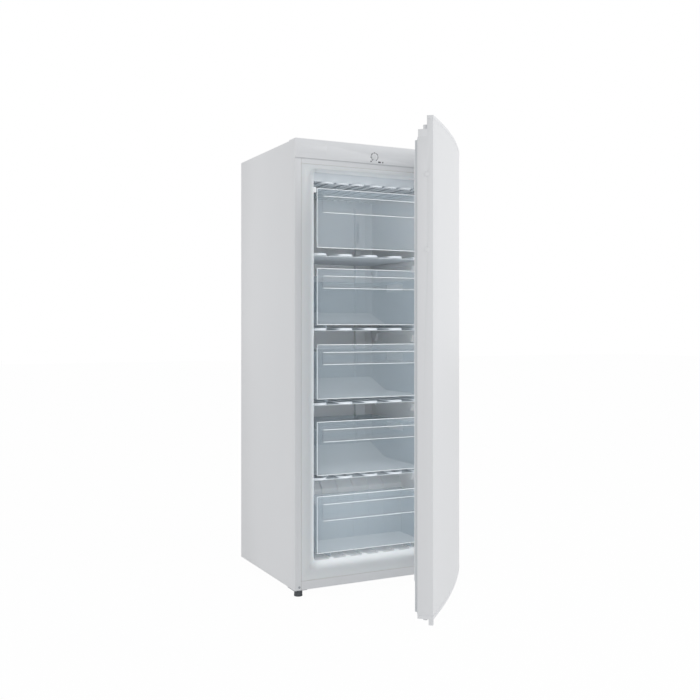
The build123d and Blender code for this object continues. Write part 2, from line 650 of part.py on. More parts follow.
# ---------------------------------------------------------------- inner liner
rib_low = CAVITY_BOTTOM - RIB_SINK
rib_top = CAVITY_BOTTOM + RIB_HEIGHT
rib_front = MOUTH_DEPTH + RIB_START
rib_back = STEP_FRONT - RIB_HEIGHT
rib_arc = (1 - math.sqrt(0.5)) * RIB_BEND
rib_knee = math.tan(math.pi / 8) * RIB_HEIGHT
with BuildPart() as liner:
    block(front_x, (0, LINER), (BOTTOM_RAIL_TOP, LINER_TOP))
    add(liner_space)
    add(space, mode=Mode.SUBTRACT)
    for x in RIB_XS:  # ribs over the floor and up the compressor step
        with BuildSketch(Plane.YZ.offset(x)):
            with BuildLine():
                Polyline((rib_front, rib_low), (rib_front, rib_top), (rib_back - RIB_BEND, rib_top))
                ThreePointArc(
                    (rib_back - RIB_BEND, rib_top),
                    (rib_back - rib_arc, rib_top + rib_arc),
                    (rib_back, rib_top + RIB_BEND),
                )
                Polyline(
                    (rib_back, rib_top + RIB_BEND),
                    (rib_back, STEP_TOP - STEP_BEVEL + rib_knee),
                    (STEP_FRONT + STEP_BEVEL - rib_knee - RIB_HEIGHT, STEP_TOP),
                    (STEP_FRONT + STEP_BEVEL, STEP_TOP - RIB_SINK),
                    (STEP_FRONT + RIB_SINK, STEP_TOP - STEP_BEVEL),
                    (STEP_FRONT + RIB_SINK, rib_low),
                    (rib_front, rib_low),
                )
            make_face()
        extrude(amount=RIB_WIDTH / 2, both=True)
    for level in SHELF_LEVELS:  # ledges that carry the shelves
        ledge_top = level - PLATE_DROP
        ledge_bottom = ledge_top - LEDGE_HEIGHT
        over_step = level == FIRST_SHELF
        ledge_back = STEP_FRONT + STEP_BEVEL / 2 if over_step else SHELF_BACK + LEDGE_END
        tab_fronts = [LEDGE_TAB_FRONT] if over_step else [LEDGE_TAB_FRONT, ledge_back - LEDGE_TAB_LENGTH]
        for side in (-1, 1):
            wall = span(side, CAVITY_HALF - LEDGE_REACH, CAVITY_HALF + RIB_SINK)
            block(wall, (LEDGE_FRONT, ledge_back), (ledge_bottom, ledge_top))
            if over_step:
                block(wall, (STEP_FRONT + STEP_BEVEL, SHELF_BACK + LEDGE_END), (STEP_TOP - RIB_SINK, ledge_top))
            for near in tab_fronts:
                far = near + LEDGE_TAB_LENGTH
                with BuildSketch(Plane.YZ.offset(wall[0])):
                    with BuildLine():
                        Polyline(
                            (near, ledge_bottom),
                            (far, ledge_bottom),
                            (far - LEDGE_TAB_TAPER, ledge_bottom - LEDGE_TAB),
                            (near + LEDGE_TAB_TAPER, ledge_bottom - LEDGE_TAB),
                            close=True,
                        )
                    make_face()
                extrude(amount=wall[1] - wall[0])
keep(liner, "inner_liner")

with BuildPart() as tube_chase:
    chase_x = (CHASE_LEFT, CHASE_LEFT + CHASE_WIDTH)
    chase_front = CAVITY_DEPTH - CHASE_REACH
    chase_z = (STEP_TOP + SEAT, TOP_LEVEL - CHASE_DROP)
    block(chase_x, (chase_front, CAVITY_DEPTH), chase_z)
    cut((chase_x[0] + CHASE_WALL, chase_x[1] - CHASE_WALL), (chase_front + CHASE_WALL, CAVITY_DEPTH),
        (chase_z[0], chase_z[1] - CHASE_WALL))
    for level in SHELF_LEVELS:  # finger slots beside each shelf
        slot_z = (level + CHASE_SLOT_RISE, level + CHASE_SLOT_RISE + CHASE_SLOT_HEIGHT)
        cut((chase_x[0], chase_x[0] + CHASE_SLOT_WIDTH), (chase_front, chase_front + CHASE_WALL), slot_z)
keep(tube_chase, "tube_chase")

with BuildPart() as riser_tubes:
    for x in (CHASE_LEFT + 0.35 * CHASE_WIDTH, CHASE_LEFT + 0.7 * CHASE_WIDTH):
        upright(x, CAVITY_DEPTH - RISER - SEAT, (STEP_TOP + SEAT, chase_z[1] - RISER_DROP), RISER)
keep(riser_tubes, "riser_tubes")

# ---------------------------------------------------------------- evaporator shelves
for number, level in enumerate(SHELF_LEVELS, start=1):
    with BuildPart() as shelf:
        swept_tube(serpentine_points(LEG_XS, level), bend_radii(LEG_XS), TUBE)
        plate_bottom = level - PLATE_DROP
        block((-SHELF_WIDTH / 2, SHELF_WIDTH / 2), (SHELF_FRONT, SHELF_BACK),
              (plate_bottom, plate_bottom + SHELF_PLATE))
    keep(shelf, f"shelf_{number}")

top_legs = []
for bend in TOP_BENDS:
    top_legs += [bend - TOP_BEND_WIDTH / 2, bend + TOP_BEND_WIDTH / 2]
with BuildPart() as evaporator_top:
    swept_tube(serpentine_points(top_legs, TOP_LEVEL), bend_radii(top_legs), TUBE)
    top_plate = TOP_LEVEL + TUBE + TUBE_GAP
    half_plate = CAVITY_HALF - TOP_PLATE_GAP
    plate_front = SHELF_FRONT + HANGER
    block((-half_plate, half_plate), (plate_front, SHELF_BACK), (top_plate, top_plate + SHELF_PLATE))
    block((-half_plate, half_plate), (plate_front, plate_front + SHELF_PLATE), (top_plate, CAVITY_TOP - SEAT))
    for x in (-half_plate + HANGER_INSET, half_plate - HANGER_INSET):
        for y in (SHELF_FRONT + HANGER_END, SHELF_BACK - HANGER_END):
            block((x - HANGER, x + HANGER), (y - HANGER, y + HANGER), (top_plate, CAVITY_TOP))
keep(evaporator_top, "evaporator_top")

# ---------------------------------------------------------------- control panel
panel_back = -PANEL_PROUD + PANEL_WALL
with BuildPart() as control_panel:
    block((-HALF, HALF), (-PANEL_PROUD, panel_back), (PANEL_BOTTOM, CABINET_HEIGHT))
    block((-HALF, HALF), (-PANEL_PROUD, CONTROL_DEPTH), (CABINET_TOP, CABINET_HEIGHT))
    for side in (-1, 1):
        block(span(side, HALF - PANEL_WALL, HALF), (-PANEL_PROUD, 0), (PANEL_BOTTOM, CABINET_HEIGHT))
    block((-HALF, HALF), (-PANEL_PROUD, -SEAM), (PANEL_BOTTOM, PANEL_BOTTOM + PANEL_WALL))
    forward(KNOB_X, (-PANEL_PROUD, panel_back), KNOB_Z, KNOB_HUB + HUB_CLEARANCE, mode=Mode.SUBTRACT)
    cut((ARM_X[0] - 2 * ARM_CLEARANCE, ARM_X[1] + 3 * ARM_CLEARANCE), (-PANEL_PROUD, 0),
        (ARM_Z[0] - ARM_CLEARANCE, ARM_Z[1] + ARM_CLEARANCE))
    front_edges = control_panel.edges().filter_by(Axis.X).group_by(Axis.Y)[0].sort_by(Axis.Z)
    fillet(front_edges[-1], PANEL_ROUND)
keep(control_panel, "fascia")

with BuildPart() as badge_plate:
    badge_left = -HALF + BADGE_INSET
    block((badge_left, badge_left + BADGE_WIDTH), (-PANEL_PROUD - BADGE_THICK, -PANEL_PROUD),
          (BADGE_BOTTOM, BADGE_BOTTOM + BADGE_HEIGHT))
    fillet(badge_plate.edges().filter_by(Axis.Y), BADGE_CORNER)
keep(badge_plate, "badge_plate")

knob_face = -KNOB_BACK - KNOB_THICK
with BuildPart() as thermostat:
    block((KNOB_X - THERMOSTAT_WIDTH / 2, KNOB_X + THERMOSTAT_WIDTH / 2),
          (panel_back, panel_back + THERMOSTAT_DEPTH), (KNOB_Z - THERMOSTAT_FALL, KNOB_Z + THERMOSTAT_RISE))
    forward(KNOB_X, (knob_face + SHAFT_SHORT, panel_back), KNOB_Z, SHAFT)
keep(thermostat, "thermostat")

with BuildPart() as knob:
    forward(KNOB_X, (knob_face, -KNOB_BACK), KNOB_Z, KNOB)
    forward(KNOB_X, (-KNOB_BACK, panel_back - SEAT), KNOB_Z, KNOB_HUB)
    cut((KNOB_X - POINTER_WIDTH / 2, KNOB_X + POINTER_WIDTH / 2), (knob_face, knob_face + POINTER_DEPTH),
        (KNOB_Z - POINTER_LENGTH / 2, KNOB_Z + POINTER_LENGTH / 2))
    forward(KNOB_X, (knob_face + SHAFT_BORE, panel_back), KNOB_Z, SHAFT + RUNNING, mode=Mode.SUBTRACT)
keep(knob, "thermostat_knob")

# ---------------------------------------------------------------- hinges and corner plates
with BuildPart() as hinge_top:
    with BuildSketch(Plane.XY.offset(ARM_Z[0])):
        with Locations((HINGE_X, -HINGE_FORWARD)):
            Circle(ARM_EYE)
        with Locations(((ARM_X[0] + ARM_X[1]) / 2, -PANEL_PROUD + ARM_CLEARANCE / 2)):
            Rectangle(ARM_WIDTH, ARM_CLEARANCE)
        make_hull()
    extrude(amount=PLATE)
    block(ARM_X, (-PANEL_PROUD, ARM_BACK), ARM_Z)
    block(ARM_X, (ARM_BACK - PLATE, ARM_BACK), (PANEL_BOTTOM, ARM_Z[1]))
    block(ARM_X, (PLATE_FRONT, ARM_BACK), (PANEL_BOTTOM, PANEL_BOTTOM + PLATE))
    upright(HINGE_X, -HINGE_FORWARD, (SOCKET_TOP - SOCKET_DEPTH, ARM_Z[1]), HINGE_PIN)
keep(hinge_top, "hinge_bracket_top")

corner_plate_z = (PLATE_BOTTOM, FLOOR_GAP)
with BuildPart() as hinge_bottom:
    block((HALF - PLATE_WIDTH, HALF - PLATE_INSET), (PLATE_FRONT, PLATE_BACK), corner_plate_z)
    block((HINGE_X - PIVOT_EYE, HALF - PLATE_INSET), (-HINGE_FORWARD, PLATE_FRONT), corner_plate_z)
    upright(HINGE_X, -HINGE_FORWARD, corner_plate_z, PIVOT_EYE)
    upright(HINGE_X, -HINGE_FORWARD, (FLOOR_GAP, SOCKET_BOTTOM - SEAT), PIVOT_COLLAR)
    upright(HINGE_X, -HINGE_FORWARD, (FLOOR_GAP, SOCKET_BOTTOM + SOCKET_DEPTH), HINGE_PIN)
    upright(FOOT_X, FOOT_INSET, corner_plate_z, FOOT_STEM + STEM_CLEARANCE, mode=Mode.SUBTRACT)
    for x, y in BRACKET_SCREWS:
        upright(x, y, corner_plate_z, SCREW_SHANK + RUNNING, mode=Mode.SUBTRACT)
keep(hinge_bottom, "hinge_bracket_bottom")

with BuildPart() as foot_bracket:
    block((-HALF + PLATE_INSET, -HALF + PLATE_WIDTH), (PLATE_FRONT, PLATE_BACK), corner_plate_z)
    upright(-FOOT_X, FOOT_INSET, corner_plate_z, FOOT_STEM + STEM_CLEARANCE, mode=Mode.SUBTRACT)
    for x, y in BRACKET_SCREWS:
        upright(-x, y, corner_plate_z, SCREW_SHANK + RUNNING, mode=Mode.SUBTRACT)
keep(foot_bracket, "foot_bracket_left")

with BuildPart() as cabinet_screws:
    for side in (-1, 1):
        forward(side * SCREW_X, (-FACE_HEAD_THICK, 0), SCREW_Z, SCREW_HEAD)
        forward(side * SCREW_X, (0, SCREW_LENGTH), SCREW_Z, SCREW_SHANK)
        for x, y in BRACKET_SCREWS:
            upright(side * x, y, (PLATE_BOTTOM - SCREW_HEAD_THICK, PLATE_BOTTOM), SCREW_HEAD)
            upright(side * x, y, corner_plate_z, SCREW_SHANK)
    arm_screw_z = (PANEL_BOTTOM + PLATE, PANEL_BOTTOM + PLATE + SCREW_HEAD_THICK)
    for inset in ARM_SCREWS:
        upright(HALF - inset, ARM_SCREW_Y, arm_screw_z, SCREW_HEAD)
keep(cabinet_screws, "cabinet_screws")

# ---------------------------------------------------------------- feet and rollers
foot_waist_z = (FOOT_RIM, PLATE_BOTTOM - SEAT)
for side, name in ((-1, "foot_left"), (1, "foot_right")):
    with BuildPart() as foot:
        upright(side * FOOT_X, FOOT_INSET, (0, FOOT_RIM), FOOT)
        upright(side * FOOT_X, FOOT_INSET, foot_waist_z, FOOT - FOOT_WAIST)
        with Locations((side * FOOT_X, FOOT_INSET)):
            with PolarLocations(FOOT - FOOT_WAIST, FOOT_GRIPS):
                with Locations((0, 0, sum(foot_waist_z) / 2)):
                    Cylinder(FOOT_GRIP, foot_waist_z[1] - foot_waist_z[0])
        upright(side * FOOT_X, FOOT_INSET, (foot_waist_z[1], INSERT_TOP - 2 * INSERT_ROOF), FOOT_STEM)
    keep(foot, name)

for side, name in ((-1, "roller_left"), (1, "roller_right")):
    with BuildPart() as roller:
        tread = (side * ROLLER_X - ROLLER_WIDTH / 2, side * ROLLER_X + ROLLER_WIDTH / 2)
        crosswise(tread, ROLLER_Y, ROLLER, ROLLER)
        fillet(roller.edges().filter_by(GeomType.CIRCLE), ROLLER_ROUND)
        crosswise(tread, ROLLER_Y, ROLLER, ROLLER_AXLE + RUNNING, mode=Mode.SUBTRACT)
    keep(roller, name)

cheek_in = ROLLER_WIDTH / 2 + ROLLER_GAP
cheek_out = cheek_in + CHEEK
with BuildPart() as roller_brackets:
    for side in (-1, 1):
        x = side * ROLLER_X
        block((x - cheek_out, x + cheek_out), (ROLLER_Y - YOKE_HALF, ROLLER_Y + YOKE_HALF),
              (FLOOR_GAP - CHEEK, FLOOR_GAP))
        for cheek in (x - cheek_out, x + cheek_in):
            block((cheek, cheek + CHEEK), (ROLLER_Y - CHEEK_HALF, ROLLER_Y + CHEEK_HALF),
                  (ROLLER - CHEEK_DROP, FLOOR_GAP))
        crosswise((x - cheek_out - ROLLER_GAP, x + cheek_out + ROLLER_GAP), ROLLER_Y, ROLLER, ROLLER_AXLE)
keep(roller_brackets, "roller_brackets")

# ---------------------------------------------------------------- cooling unit
mount_top = BASE_TOP + GROMMET_HEIGHT
with BuildPart() as compressor:
    with BuildSketch(Plane.XY.offset(SHELL_BOTTOM)):
        with Locations((COMPRESSOR_X, COMPRESSOR_Y)):
            Ellipse(COMPRESSOR_LONG, COMPRESSOR_SHORT)
    extrude(amount=COMPRESSOR_HEIGHT)
    fillet(compressor.faces().sort_by(Axis.Z)[-1].edges(), COMPRESSOR_CROWN)
    fillet(compressor.faces().sort_by(Axis.Z)[0].edges(), COMPRESSOR_BASE_ROUND)
    with BuildSketch(Plane.XY.offset(SHELL_BOTTOM + SEAM_RISE)):
        with Locations((COMPRESSOR_X, COMPRESSOR_Y)):
            Ellipse(COMPRESSOR_LONG + SEAM_BAND, COMPRESSOR_SHORT + SEAM_BAND)
    extrude(amount=SEAM_HEIGHT)
    with BuildSketch(Plane.XY.offset(mount_top)):
        for sy in (-1, 1):
            with Locations((COMPRESSOR_X, COMPRESSOR_Y + sy * MOUNT_Y)):
                RectangleRounded(2 * (MOUNT_X + MOUNT_PLATE_LAP), MOUNT_PLATE_WIDTH, MOUNT_PLATE_CORNER)
    extrude(amount=MOUNT_PLATE)
    for x, y in MOUNTS:
        upright(x, y, (mount_top, mount_top + MOUNT_PLATE), MOUNT_BORE, mode=Mode.SUBTRACT)
keep(compressor, "compressor")

with BuildPart() as compressor_mounts:
    for x, y in MOUNTS:
        upright(x, y, (BASE_TOP, mount_top), GROMMET)
        upright(x, y, (mount_top, mount_top + MOUNT_PLATE), GROMMET_NECK)
        upright(x, y, (mount_top + MOUNT_PLATE, mount_top + 2 * MOUNT_PLATE), GROMMET_HEAD)
keep(compressor_mounts, "compressor_mounts")

with BuildPart() as relay_cover:
    relay_x = COMPRESSOR_X - COMPRESSOR_LONG - SEAM_BAND
    block((relay_x - RELAY_DEPTH, relay_x), (COMPRESSOR_Y - RELAY_HALF_WIDTH, COMPRESSOR_Y + RELAY_HALF_WIDTH),
          (SHELL_BOTTOM + RELAY_RISE, SHELL_BOTTOM + RELAY_RISE + RELAY_HEIGHT))
    fillet(relay_cover.faces().sort_by(Axis.X)[0].edges(), RELAY_ROUND)
keep(relay_cover, "relay_cover")

with BuildPart() as condenser:
    run = [(CONDENSER_HALF, CONDENSER_Y, TAIL_Z)]
    for row in range(CONDENSER_ROWS):
        z = CONDENSER_BOTTOM + row * CONDENSER_PITCH
        way = 1 if row % 2 == 0 else -1
        run += [(way * CONDENSER_HALF, CONDENSER_Y, z), (-way * CONDENSER_HALF, CONDENSER_Y, z)]
    run[-1] = (DRIER_X, CONDENSER_Y, run[-1][2])
    run.append((DRIER_X, CONDENSER_Y, TAIL_Z))
    arcs = [TAIL_BEND] + [0.49 * CONDENSER_PITCH] * (2 * CONDENSER_ROWS - 2) + [TAIL_BEND]
    swept_tube(run, arcs, CONDENSER_TUBE)
    wire_y = CONDENSER_Y + CONDENSER_TUBE + WIRE + TUBE_GAP
    wire_step = 2 * (CONDENSER_HALF - WIRE_MARGIN) / (WIRE_COUNT - 1)
    for i in range(WIRE_COUNT):
        x = (i - (WIRE_COUNT - 1) / 2) * wire_step
        upright(x, wire_y, (CONDENSER_BOTTOM - WIRE_OVERRUN, CONDENSER_TOP + WIRE_OVERRUN), WIRE)
keep(condenser, "condenser")

with BuildPart() as condenser_brackets:
    for x in (-CONDENSER_HALF + BRACKET_INSET, CONDENSER_HALF - BRACKET_INSET):
        for z in (CONDENSER_BOTTOM, CONDENSER_TOP):
            block((x - BRACKET_HALF_WIDTH, x + BRACKET_HALF_WIDTH),
                  (CABINET_DEPTH, CONDENSER_Y - CONDENSER_TUBE - STANDOFF),
                  (z - BRACKET_HALF_HEIGHT, z + BRACKET_HALF_HEIGHT))
keep(condenser_brackets, "condenser_brackets")

with BuildPart() as filter_drier:
    upright(DRIER_X, DRIER_Y, (DRIER_TOP - DRIER_LENGTH, DRIER_TOP), DRIER)
    fillet(filter_drier.edges().filter_by(GeomType.CIRCLE), DRIER_ROUND)
keep(filter_drier, "filter_drier")

discharge_z = SHELL_BOTTOM + DISCHARGE_RISE
suction_z = SHELL_BOTTOM + SUCTION_RISE
outlet_x = COMPRESSOR_X + COMPRESSOR_LONG + SEAM_BAND + LINE_GAP
suction_y = COMPRESSOR_Y - COMPRESSOR_SHORT - SEAM_BAND - LINE_GAP
with BuildPart() as refrigerant_lines:
    swept_tube(
        [(outlet_x, COMPRESSOR_Y, discharge_z), (CONDENSER_HALF - LINE_BEND, COMPRESSOR_Y, discharge_z),
         (CONDENSER_HALF, CONDENSER_Y, discharge_z), (CONDENSER_HALF, CONDENSER_Y, TAIL_Z)],
        [LINE_BEND, LINE_BEND], CONDENSER_TUBE,
    )
    drier_line_z = DRIER_TOP + DRIER_DROP - 2 * DRIER_BEND
    swept_tube(
        [(DRIER_X, CONDENSER_Y, TAIL_Z), (DRIER_X, CONDENSER_Y, drier_line_z),
         (DRIER_X, DRIER_Y, drier_line_z), (DRIER_X, DRIER_Y, DRIER_TOP)],
        [DRIER_BEND, DRIER_BEND], CONDENSER_TUBE,
    )
    swept_tube(
        [(DRIER_X, DRIER_Y, DRIER_TOP - DRIER_LENGTH), (DRIER_X, DRIER_Y, suction_z),
         (DRIER_X, BAY_FRONT + BAY_SHEET, suction_z)],
        [LINE_BEND], CAPILLARY,
    )
    swept_tube(
        [(COMPRESSOR_X, suction_y, suction_z), (COMPRESSOR_X, suction_y - SUCTION_REACH, suction_z),
         (COMPRESSOR_X, suction_y - SUCTION_REACH, BAY_TOP - BAY_SHEET)],
        [SUCTION_BEND], SUCTION_TUBE,
    )
keep(refrigerant_lines, "refrigerant_lines")


# ---------------------------------------------------------------- drawers
def front_panel(z, grip_height):
    """A clear front with a hollow grip rolled forward across it."""
    grip_top = z[1] - GRIP_DROP
    grip_bottom = grip_top - grip_height
    block((-FRONT_WIDTH / 2, FRONT_WIDTH / 2), (FRONT_FACE, PIVOT_Y), z)
    for wall, back, mode in ((0, PIVOT_Y, Mode.ADD), (FRONT_WALL, PIVOT_Y + SEAT, Mode.SUBTRACT)):
        near, low, high = FRONT_FACE + wall, grip_bottom + wall, grip_top - wall
        with BuildSketch(Plane.YZ) as profile:
            with BuildLine():
                Polyline((near, low), (back, low), (back, high), (near, high))
                ThreePointArc((near, high), (near - GRIP_PROUD, (low + high) / 2), (near, low))
            make_face()
        extrude(profile.sketch, amount=GRIP_WIDTH / 2 - wall, both=True, mode=mode)


for place, carrier in DRAWER_SEATS.items():
    shallow = carrier == CAVITY_BOTTOM
    low = carrier + DRAWER_RISES[place]
    high = DRAWER_ROOFS[place] - DRAWER_DROPS[place]
    rim = high - TUB_RIM_DROP
    with BuildPart() as drawer_front:
        front_panel((low, high), DEEP_GRIP_HEIGHT if shallow else GRIP_HEIGHT)
        upright_edges = drawer_front.edges().filter_by(Axis.Y).group_by(Axis.X)
        fillet(upright_edges[0] + upright_edges[-1], FRONT_CORNER)
    keep(drawer_front, f"drawer_{place}_front")

    back = BOTTOM_TUB_BACK if shallow else TUB_BACK
    slope = back if shallow else TUB_SLOPE_FRONT
    with BuildPart() as tub:
        for wall, mode in ((0, Mode.ADD), (TUB_WALL, Mode.SUBTRACT)):
            outline = [(PIVOT_Y, rim + wall), (PIVOT_Y, low + wall)]
            if shallow:
                outline.append((back - wall, low + wall))
            else:
                outline += [(slope, low + wall), (back - wall, low + TUB_SLOPE_RISE + wall)]
            outline.append((back - wall, rim + wall))
            with BuildSketch(Plane.YZ):
                with BuildLine():
                    Polyline(*outline, close=True)
                make_face()
            extrude(amount=TUB_WIDTH / 2 - wall, both=True, mode=mode)
        for side in (-1, 1):
            block(span(side, TUB_WIDTH / 2, TUB_WIDTH / 2 + TUB_RIM), (PIVOT_Y, back), (rim - TUB_WALL, rim))
            if not shallow:
                cut(span(side, TUB_WIDTH / 2 - TUB_WALL, TUB_WIDTH / 2), (SLOT_FRONT, SLOT_FRONT + SLOT_LENGTH),
                    (rim - SLOT_DROP - SLOT_HEIGHT, rim - SLOT_DROP))
            runner = side * (RIB_XS[-1] if shallow else LEG_XS[-2])
            runner_foot = carrier + (RIB_HEIGHT if shallow else TUBE) + SEAT
            block((runner - RUNNER_WIDTH / 2, runner + RUNNER_WIDTH / 2),
                  (PIVOT_Y + RUNNER_FRONT, slope - RUNNER_BACK), (runner_foot, low))
    keep(tub, f"drawer_{place}_tub")

# ---------------------------------------------------------------- fast-freeze flap
with BuildPart() as flap:
    front_panel((FLAP_BOTTOM, FLAP_TOP), DEEP_GRIP_HEIGHT)
    for side in (-1, 1):
        crosswise(span(side, FRONT_WIDTH / 2 - FLAP_PIN_ROOT, CAVITY_HALF - FLAP_PIN_GAP), PIVOT_Y, FLAP_PIVOT,
                  FLAP_PIN)
keep(flap, "flap")

with BuildPart() as flap_brackets:
    for side in (-1, 1):
        ear = span(side, CAVITY_HALF - EAR_WIDTH, CAVITY_HALF)
        block(ear, (PIVOT_Y - EAR_FRONT, PIVOT_Y + EAR_BACK),
              (FLAP_PIVOT - EAR_HALF_HEIGHT, FLAP_PIVOT + EAR_HALF_HEIGHT))
        crosswise(ear, PIVOT_Y, FLAP_PIVOT, FLAP_PIN + RUNNING, mode=Mode.SUBTRACT)
keep(flap_brackets, "flap_brackets")

# ---------------------------------------------------------------- door
skin_face = door_outline(0)
foam_face = door_outline(SHEET)
band_face = door_outline(-CAP_OVERHANG)
pocket_face = door_outline(CAP_RIM)
wide_x = (-DOOR_HALF - DOOR_BOW, DOOR_HALF + DOOR_BOW)  # past the door on both sides
door_z = (0, CABINET_HEIGHT)
open_half = DOOR_HALF - DOOR_RETURN
sheet_height = SHEET_TOP - SHEET_BOTTOM
top_socket_z = (SOCKET_TOP - SOCKET_DEPTH - BUSH_STOP, SOCKET_TOP)
bottom_socket_z = (SOCKET_BOTTOM, SOCKET_BOTTOM + SOCKET_DEPTH + SOCKET_FLOOR)
bottom_socket_end = bottom_socket_z[1] + SOCKET_FLOOR

with BuildPart() as door_panel:
    with BuildSketch(Plane.XY.offset(SHEET_BOTTOM)):
        add(skin_face)
    extrude(amount=sheet_height)
    with BuildSketch(Plane.XY.offset(SHEET_BOTTOM)):
        add(foam_face)
    extrude(amount=sheet_height, mode=Mode.SUBTRACT)
    cut((-open_half, open_half), (-DOOR_BACK - 2 * SHEET, 0), door_z)
    cut(wide_x, (-LIP_BACK, 0), (LEDGE_BOTTOM, CABINET_HEIGHT))
    for z in EDGE_PLUG_LEVELS:
        crosswise((-DOOR_HALF, -DOOR_HALF + SHEET), -LIP_BACK, z, EDGE_PLUG_STEM, mode=Mode.SUBTRACT)
keep(door_panel, "door_panel", on_door=True)


def plug(wall):
    """The raised inside of the door, drawn in by a wall thickness."""
    middle = (PLUG_TOP + PLUG_BOTTOM) / 2
    height = PLUG_TOP - PLUG_BOTTOM
    with BuildPart() as raised:
        for distance, draft in ((DOOR_BACK - LINER + wall, PLUG_DRAFT), (-PLUG_REACH + wall, 0)):
            with BuildSketch(Plane.XZ.offset(distance)):
                with Locations((0, middle)):
                    RectangleRounded(2 * (PLUG_HALF + draft - wall), height + 2 * (draft - wall), PLUG_CORNER)
        loft()
        border = PLUG_BORDER - wall
        cut((-PLUG_HALF + border, PLUG_HALF - border), (PLUG_REACH - PLUG_RECESS - wall, PLUG_REACH),
            (PLUG_BOTTOM + border, PLUG_TOP - border))
    return raised.part


plug_skin = plug(0)
plug_core = plug(LINER)
flange_half = DOOR_HALF - DOOR_LINER_INSET
flange_z = (GASKET_BOTTOM - DOOR_LINER_LAP, GASKET_TOP + DOOR_LINER_LAP)
with BuildPart() as door_liner:
    block((-flange_half, flange_half), (-DOOR_BACK, -DOOR_BACK + LINER), flange_z)
    add(plug_skin)
    add(plug_core, mode=Mode.SUBTRACT)
keep(door_liner, "door_liner", on_door=True)

with BuildPart() as door_foam:
    with BuildSketch(Plane.XY.offset(SHEET_BOTTOM)):
        add(foam_face)
    extrude(amount=sheet_height)
    block((-open_half, open_half), (-DOOR_BACK - SHEET, -DOOR_BACK), flange_z)
    add(plug_core)
    cut(wide_x, (-LIP_BACK - CAP_WALL, 0), (LEDGE_TOP - CAP_WALL, CABINET_HEIGHT))
    cut(wide_x, (-CAP_BACK - CAP_WALL, 0), (LEDGE_BOTTOM - CAP_WALL, CABINET_HEIGHT))
    for side in (-1, 1):
        cut(span(side, DOOR_HALF - CAP_WALL, DOOR_HALF), (-LIP_BACK - CAP_WALL, 0),
            (LEDGE_BOTTOM, CABINET_HEIGHT))
        upright(side * HINGE_X, -HINGE_FORWARD, (LEDGE_BOTTOM, CABINET_HEIGHT), SOCKET, mode=Mode.SUBTRACT)
        upright(side * HINGE_X, -HINGE_FORWARD, (0, bottom_socket_end), SOCKET, mode=Mode.SUBTRACT)
    for z in EDGE_PLUG_LEVELS:
        crosswise((-DOOR_HALF, -DOOR_HALF + EDGE_PLUG_DEPTH + PLUG_END_GAP), -LIP_BACK, z, EDGE_PLUG_STEM,
                  mode=Mode.SUBTRACT)
keep(door_foam, "door_foam", on_door=True)

with BuildPart() as door_cap_top:
    with BuildSketch(Plane.XY.offset(LEDGE_BOTTOM - CAP_WALL)):
        add(skin_face)
    extrude(amount=SHEET_TOP - LEDGE_BOTTOM + CAP_WALL)
    cut(wide_x, (-DOOR_EDGE - 2 * DOOR_BOW, -LIP_BACK - CAP_WALL), door_z)
    cut(wide_x, (-CAP_BACK, 0), door_z)
    cut(wide_x, (-LIP_BACK, 0), (LEDGE_TOP, CABINET_HEIGHT))
    with BuildSketch(Plane.XY.offset(SHEET_TOP)):
        add(band_face)
    extrude(amount=CAP_BAND)
    cut(wide_x, (-LIP_BACK, 0), (SHEET_TOP, CABINET_HEIGHT))
    for side in (-1, 1):
        upright(side * HINGE_X, -HINGE_FORWARD, (LEDGE_BOTTOM, SOCKET_TOP), SOCKET)
    add(door_foam.part, mode=Mode.SUBTRACT)
    add(door_panel.part, mode=Mode.SUBTRACT)
    for side in (-1, 1):
        upright(side * HINGE_X, -HINGE_FORWARD, top_socket_z, BUSH, mode=Mode.SUBTRACT)
keep(door_cap_top, "door_cap_top", on_door=True)

with BuildPart() as door_cap_bottom:
    with BuildSketch(Plane.XY.offset(DOOR_BOTTOM)):
        add(band_face)
    extrude(amount=CAP_BAND)
    with BuildSketch(Plane.XY.offset(DOOR_BOTTOM)):
        add(pocket_face)
    extrude(amount=CAP_BAND - CAP_WALL, mode=Mode.SUBTRACT)
    for side in (-1, 1):
        upright(side * HINGE_X, -HINGE_FORWARD, (SOCKET_BOTTOM, bottom_socket_end), SOCKET)
        upright(side * HINGE_X, -HINGE_FORWARD, bottom_socket_z, BUSH, mode=Mode.SUBTRACT)
    block((-DOOR_HALF, -DOOR_HALF + LUG_LENGTH), (-DOOR_EDGE, -DOOR_EDGE + LUG_THICK),
          (DOOR_BOTTOM - LUG_DROP, DOOR_BOTTOM + SHEET))
keep(door_cap_bottom, "door_cap_bottom", on_door=True)

with BuildPart() as door_bushes:
    for z in (top_socket_z, bottom_socket_z):
        upright(HINGE_X, -HINGE_FORWARD, z, BUSH)
        upright(HINGE_X, -HINGE_FORWARD, z, HINGE_PIN + RUNNING, mode=Mode.SUBTRACT)
keep(door_bushes, "door_hinge_bushes", on_door=True)

gasket_back = DOOR_BACK - LINER
bead_back = gasket_back - GASKET_FOOT
bead_inset = (GASKET_WIDTH - GASKET_BEAD) / 2
magnet_inset = (GASKET_WIDTH - MAGNET_WIDTH) / 2
magnet_near = GASKET_FRONT + MAGNET_COVER
magnet_far = magnet_near + MAGNET_DEPTH
with BuildPart() as gasket:
    ring(0, GASKET_WIDTH, bead_back, gasket_back)
    ring(bead_inset, GASKET_BEAD, GASKET_FRONT, bead_back)
    ring(magnet_inset, MAGNET_WIDTH, magnet_near, magnet_far, mode=Mode.SUBTRACT)
keep(gasket, "door_gasket", on_door=True)

with BuildPart() as magnet:
    ring(magnet_inset, MAGNET_WIDTH, magnet_near, magnet_far)
keep(magnet, "gasket_magnet", on_door=True)

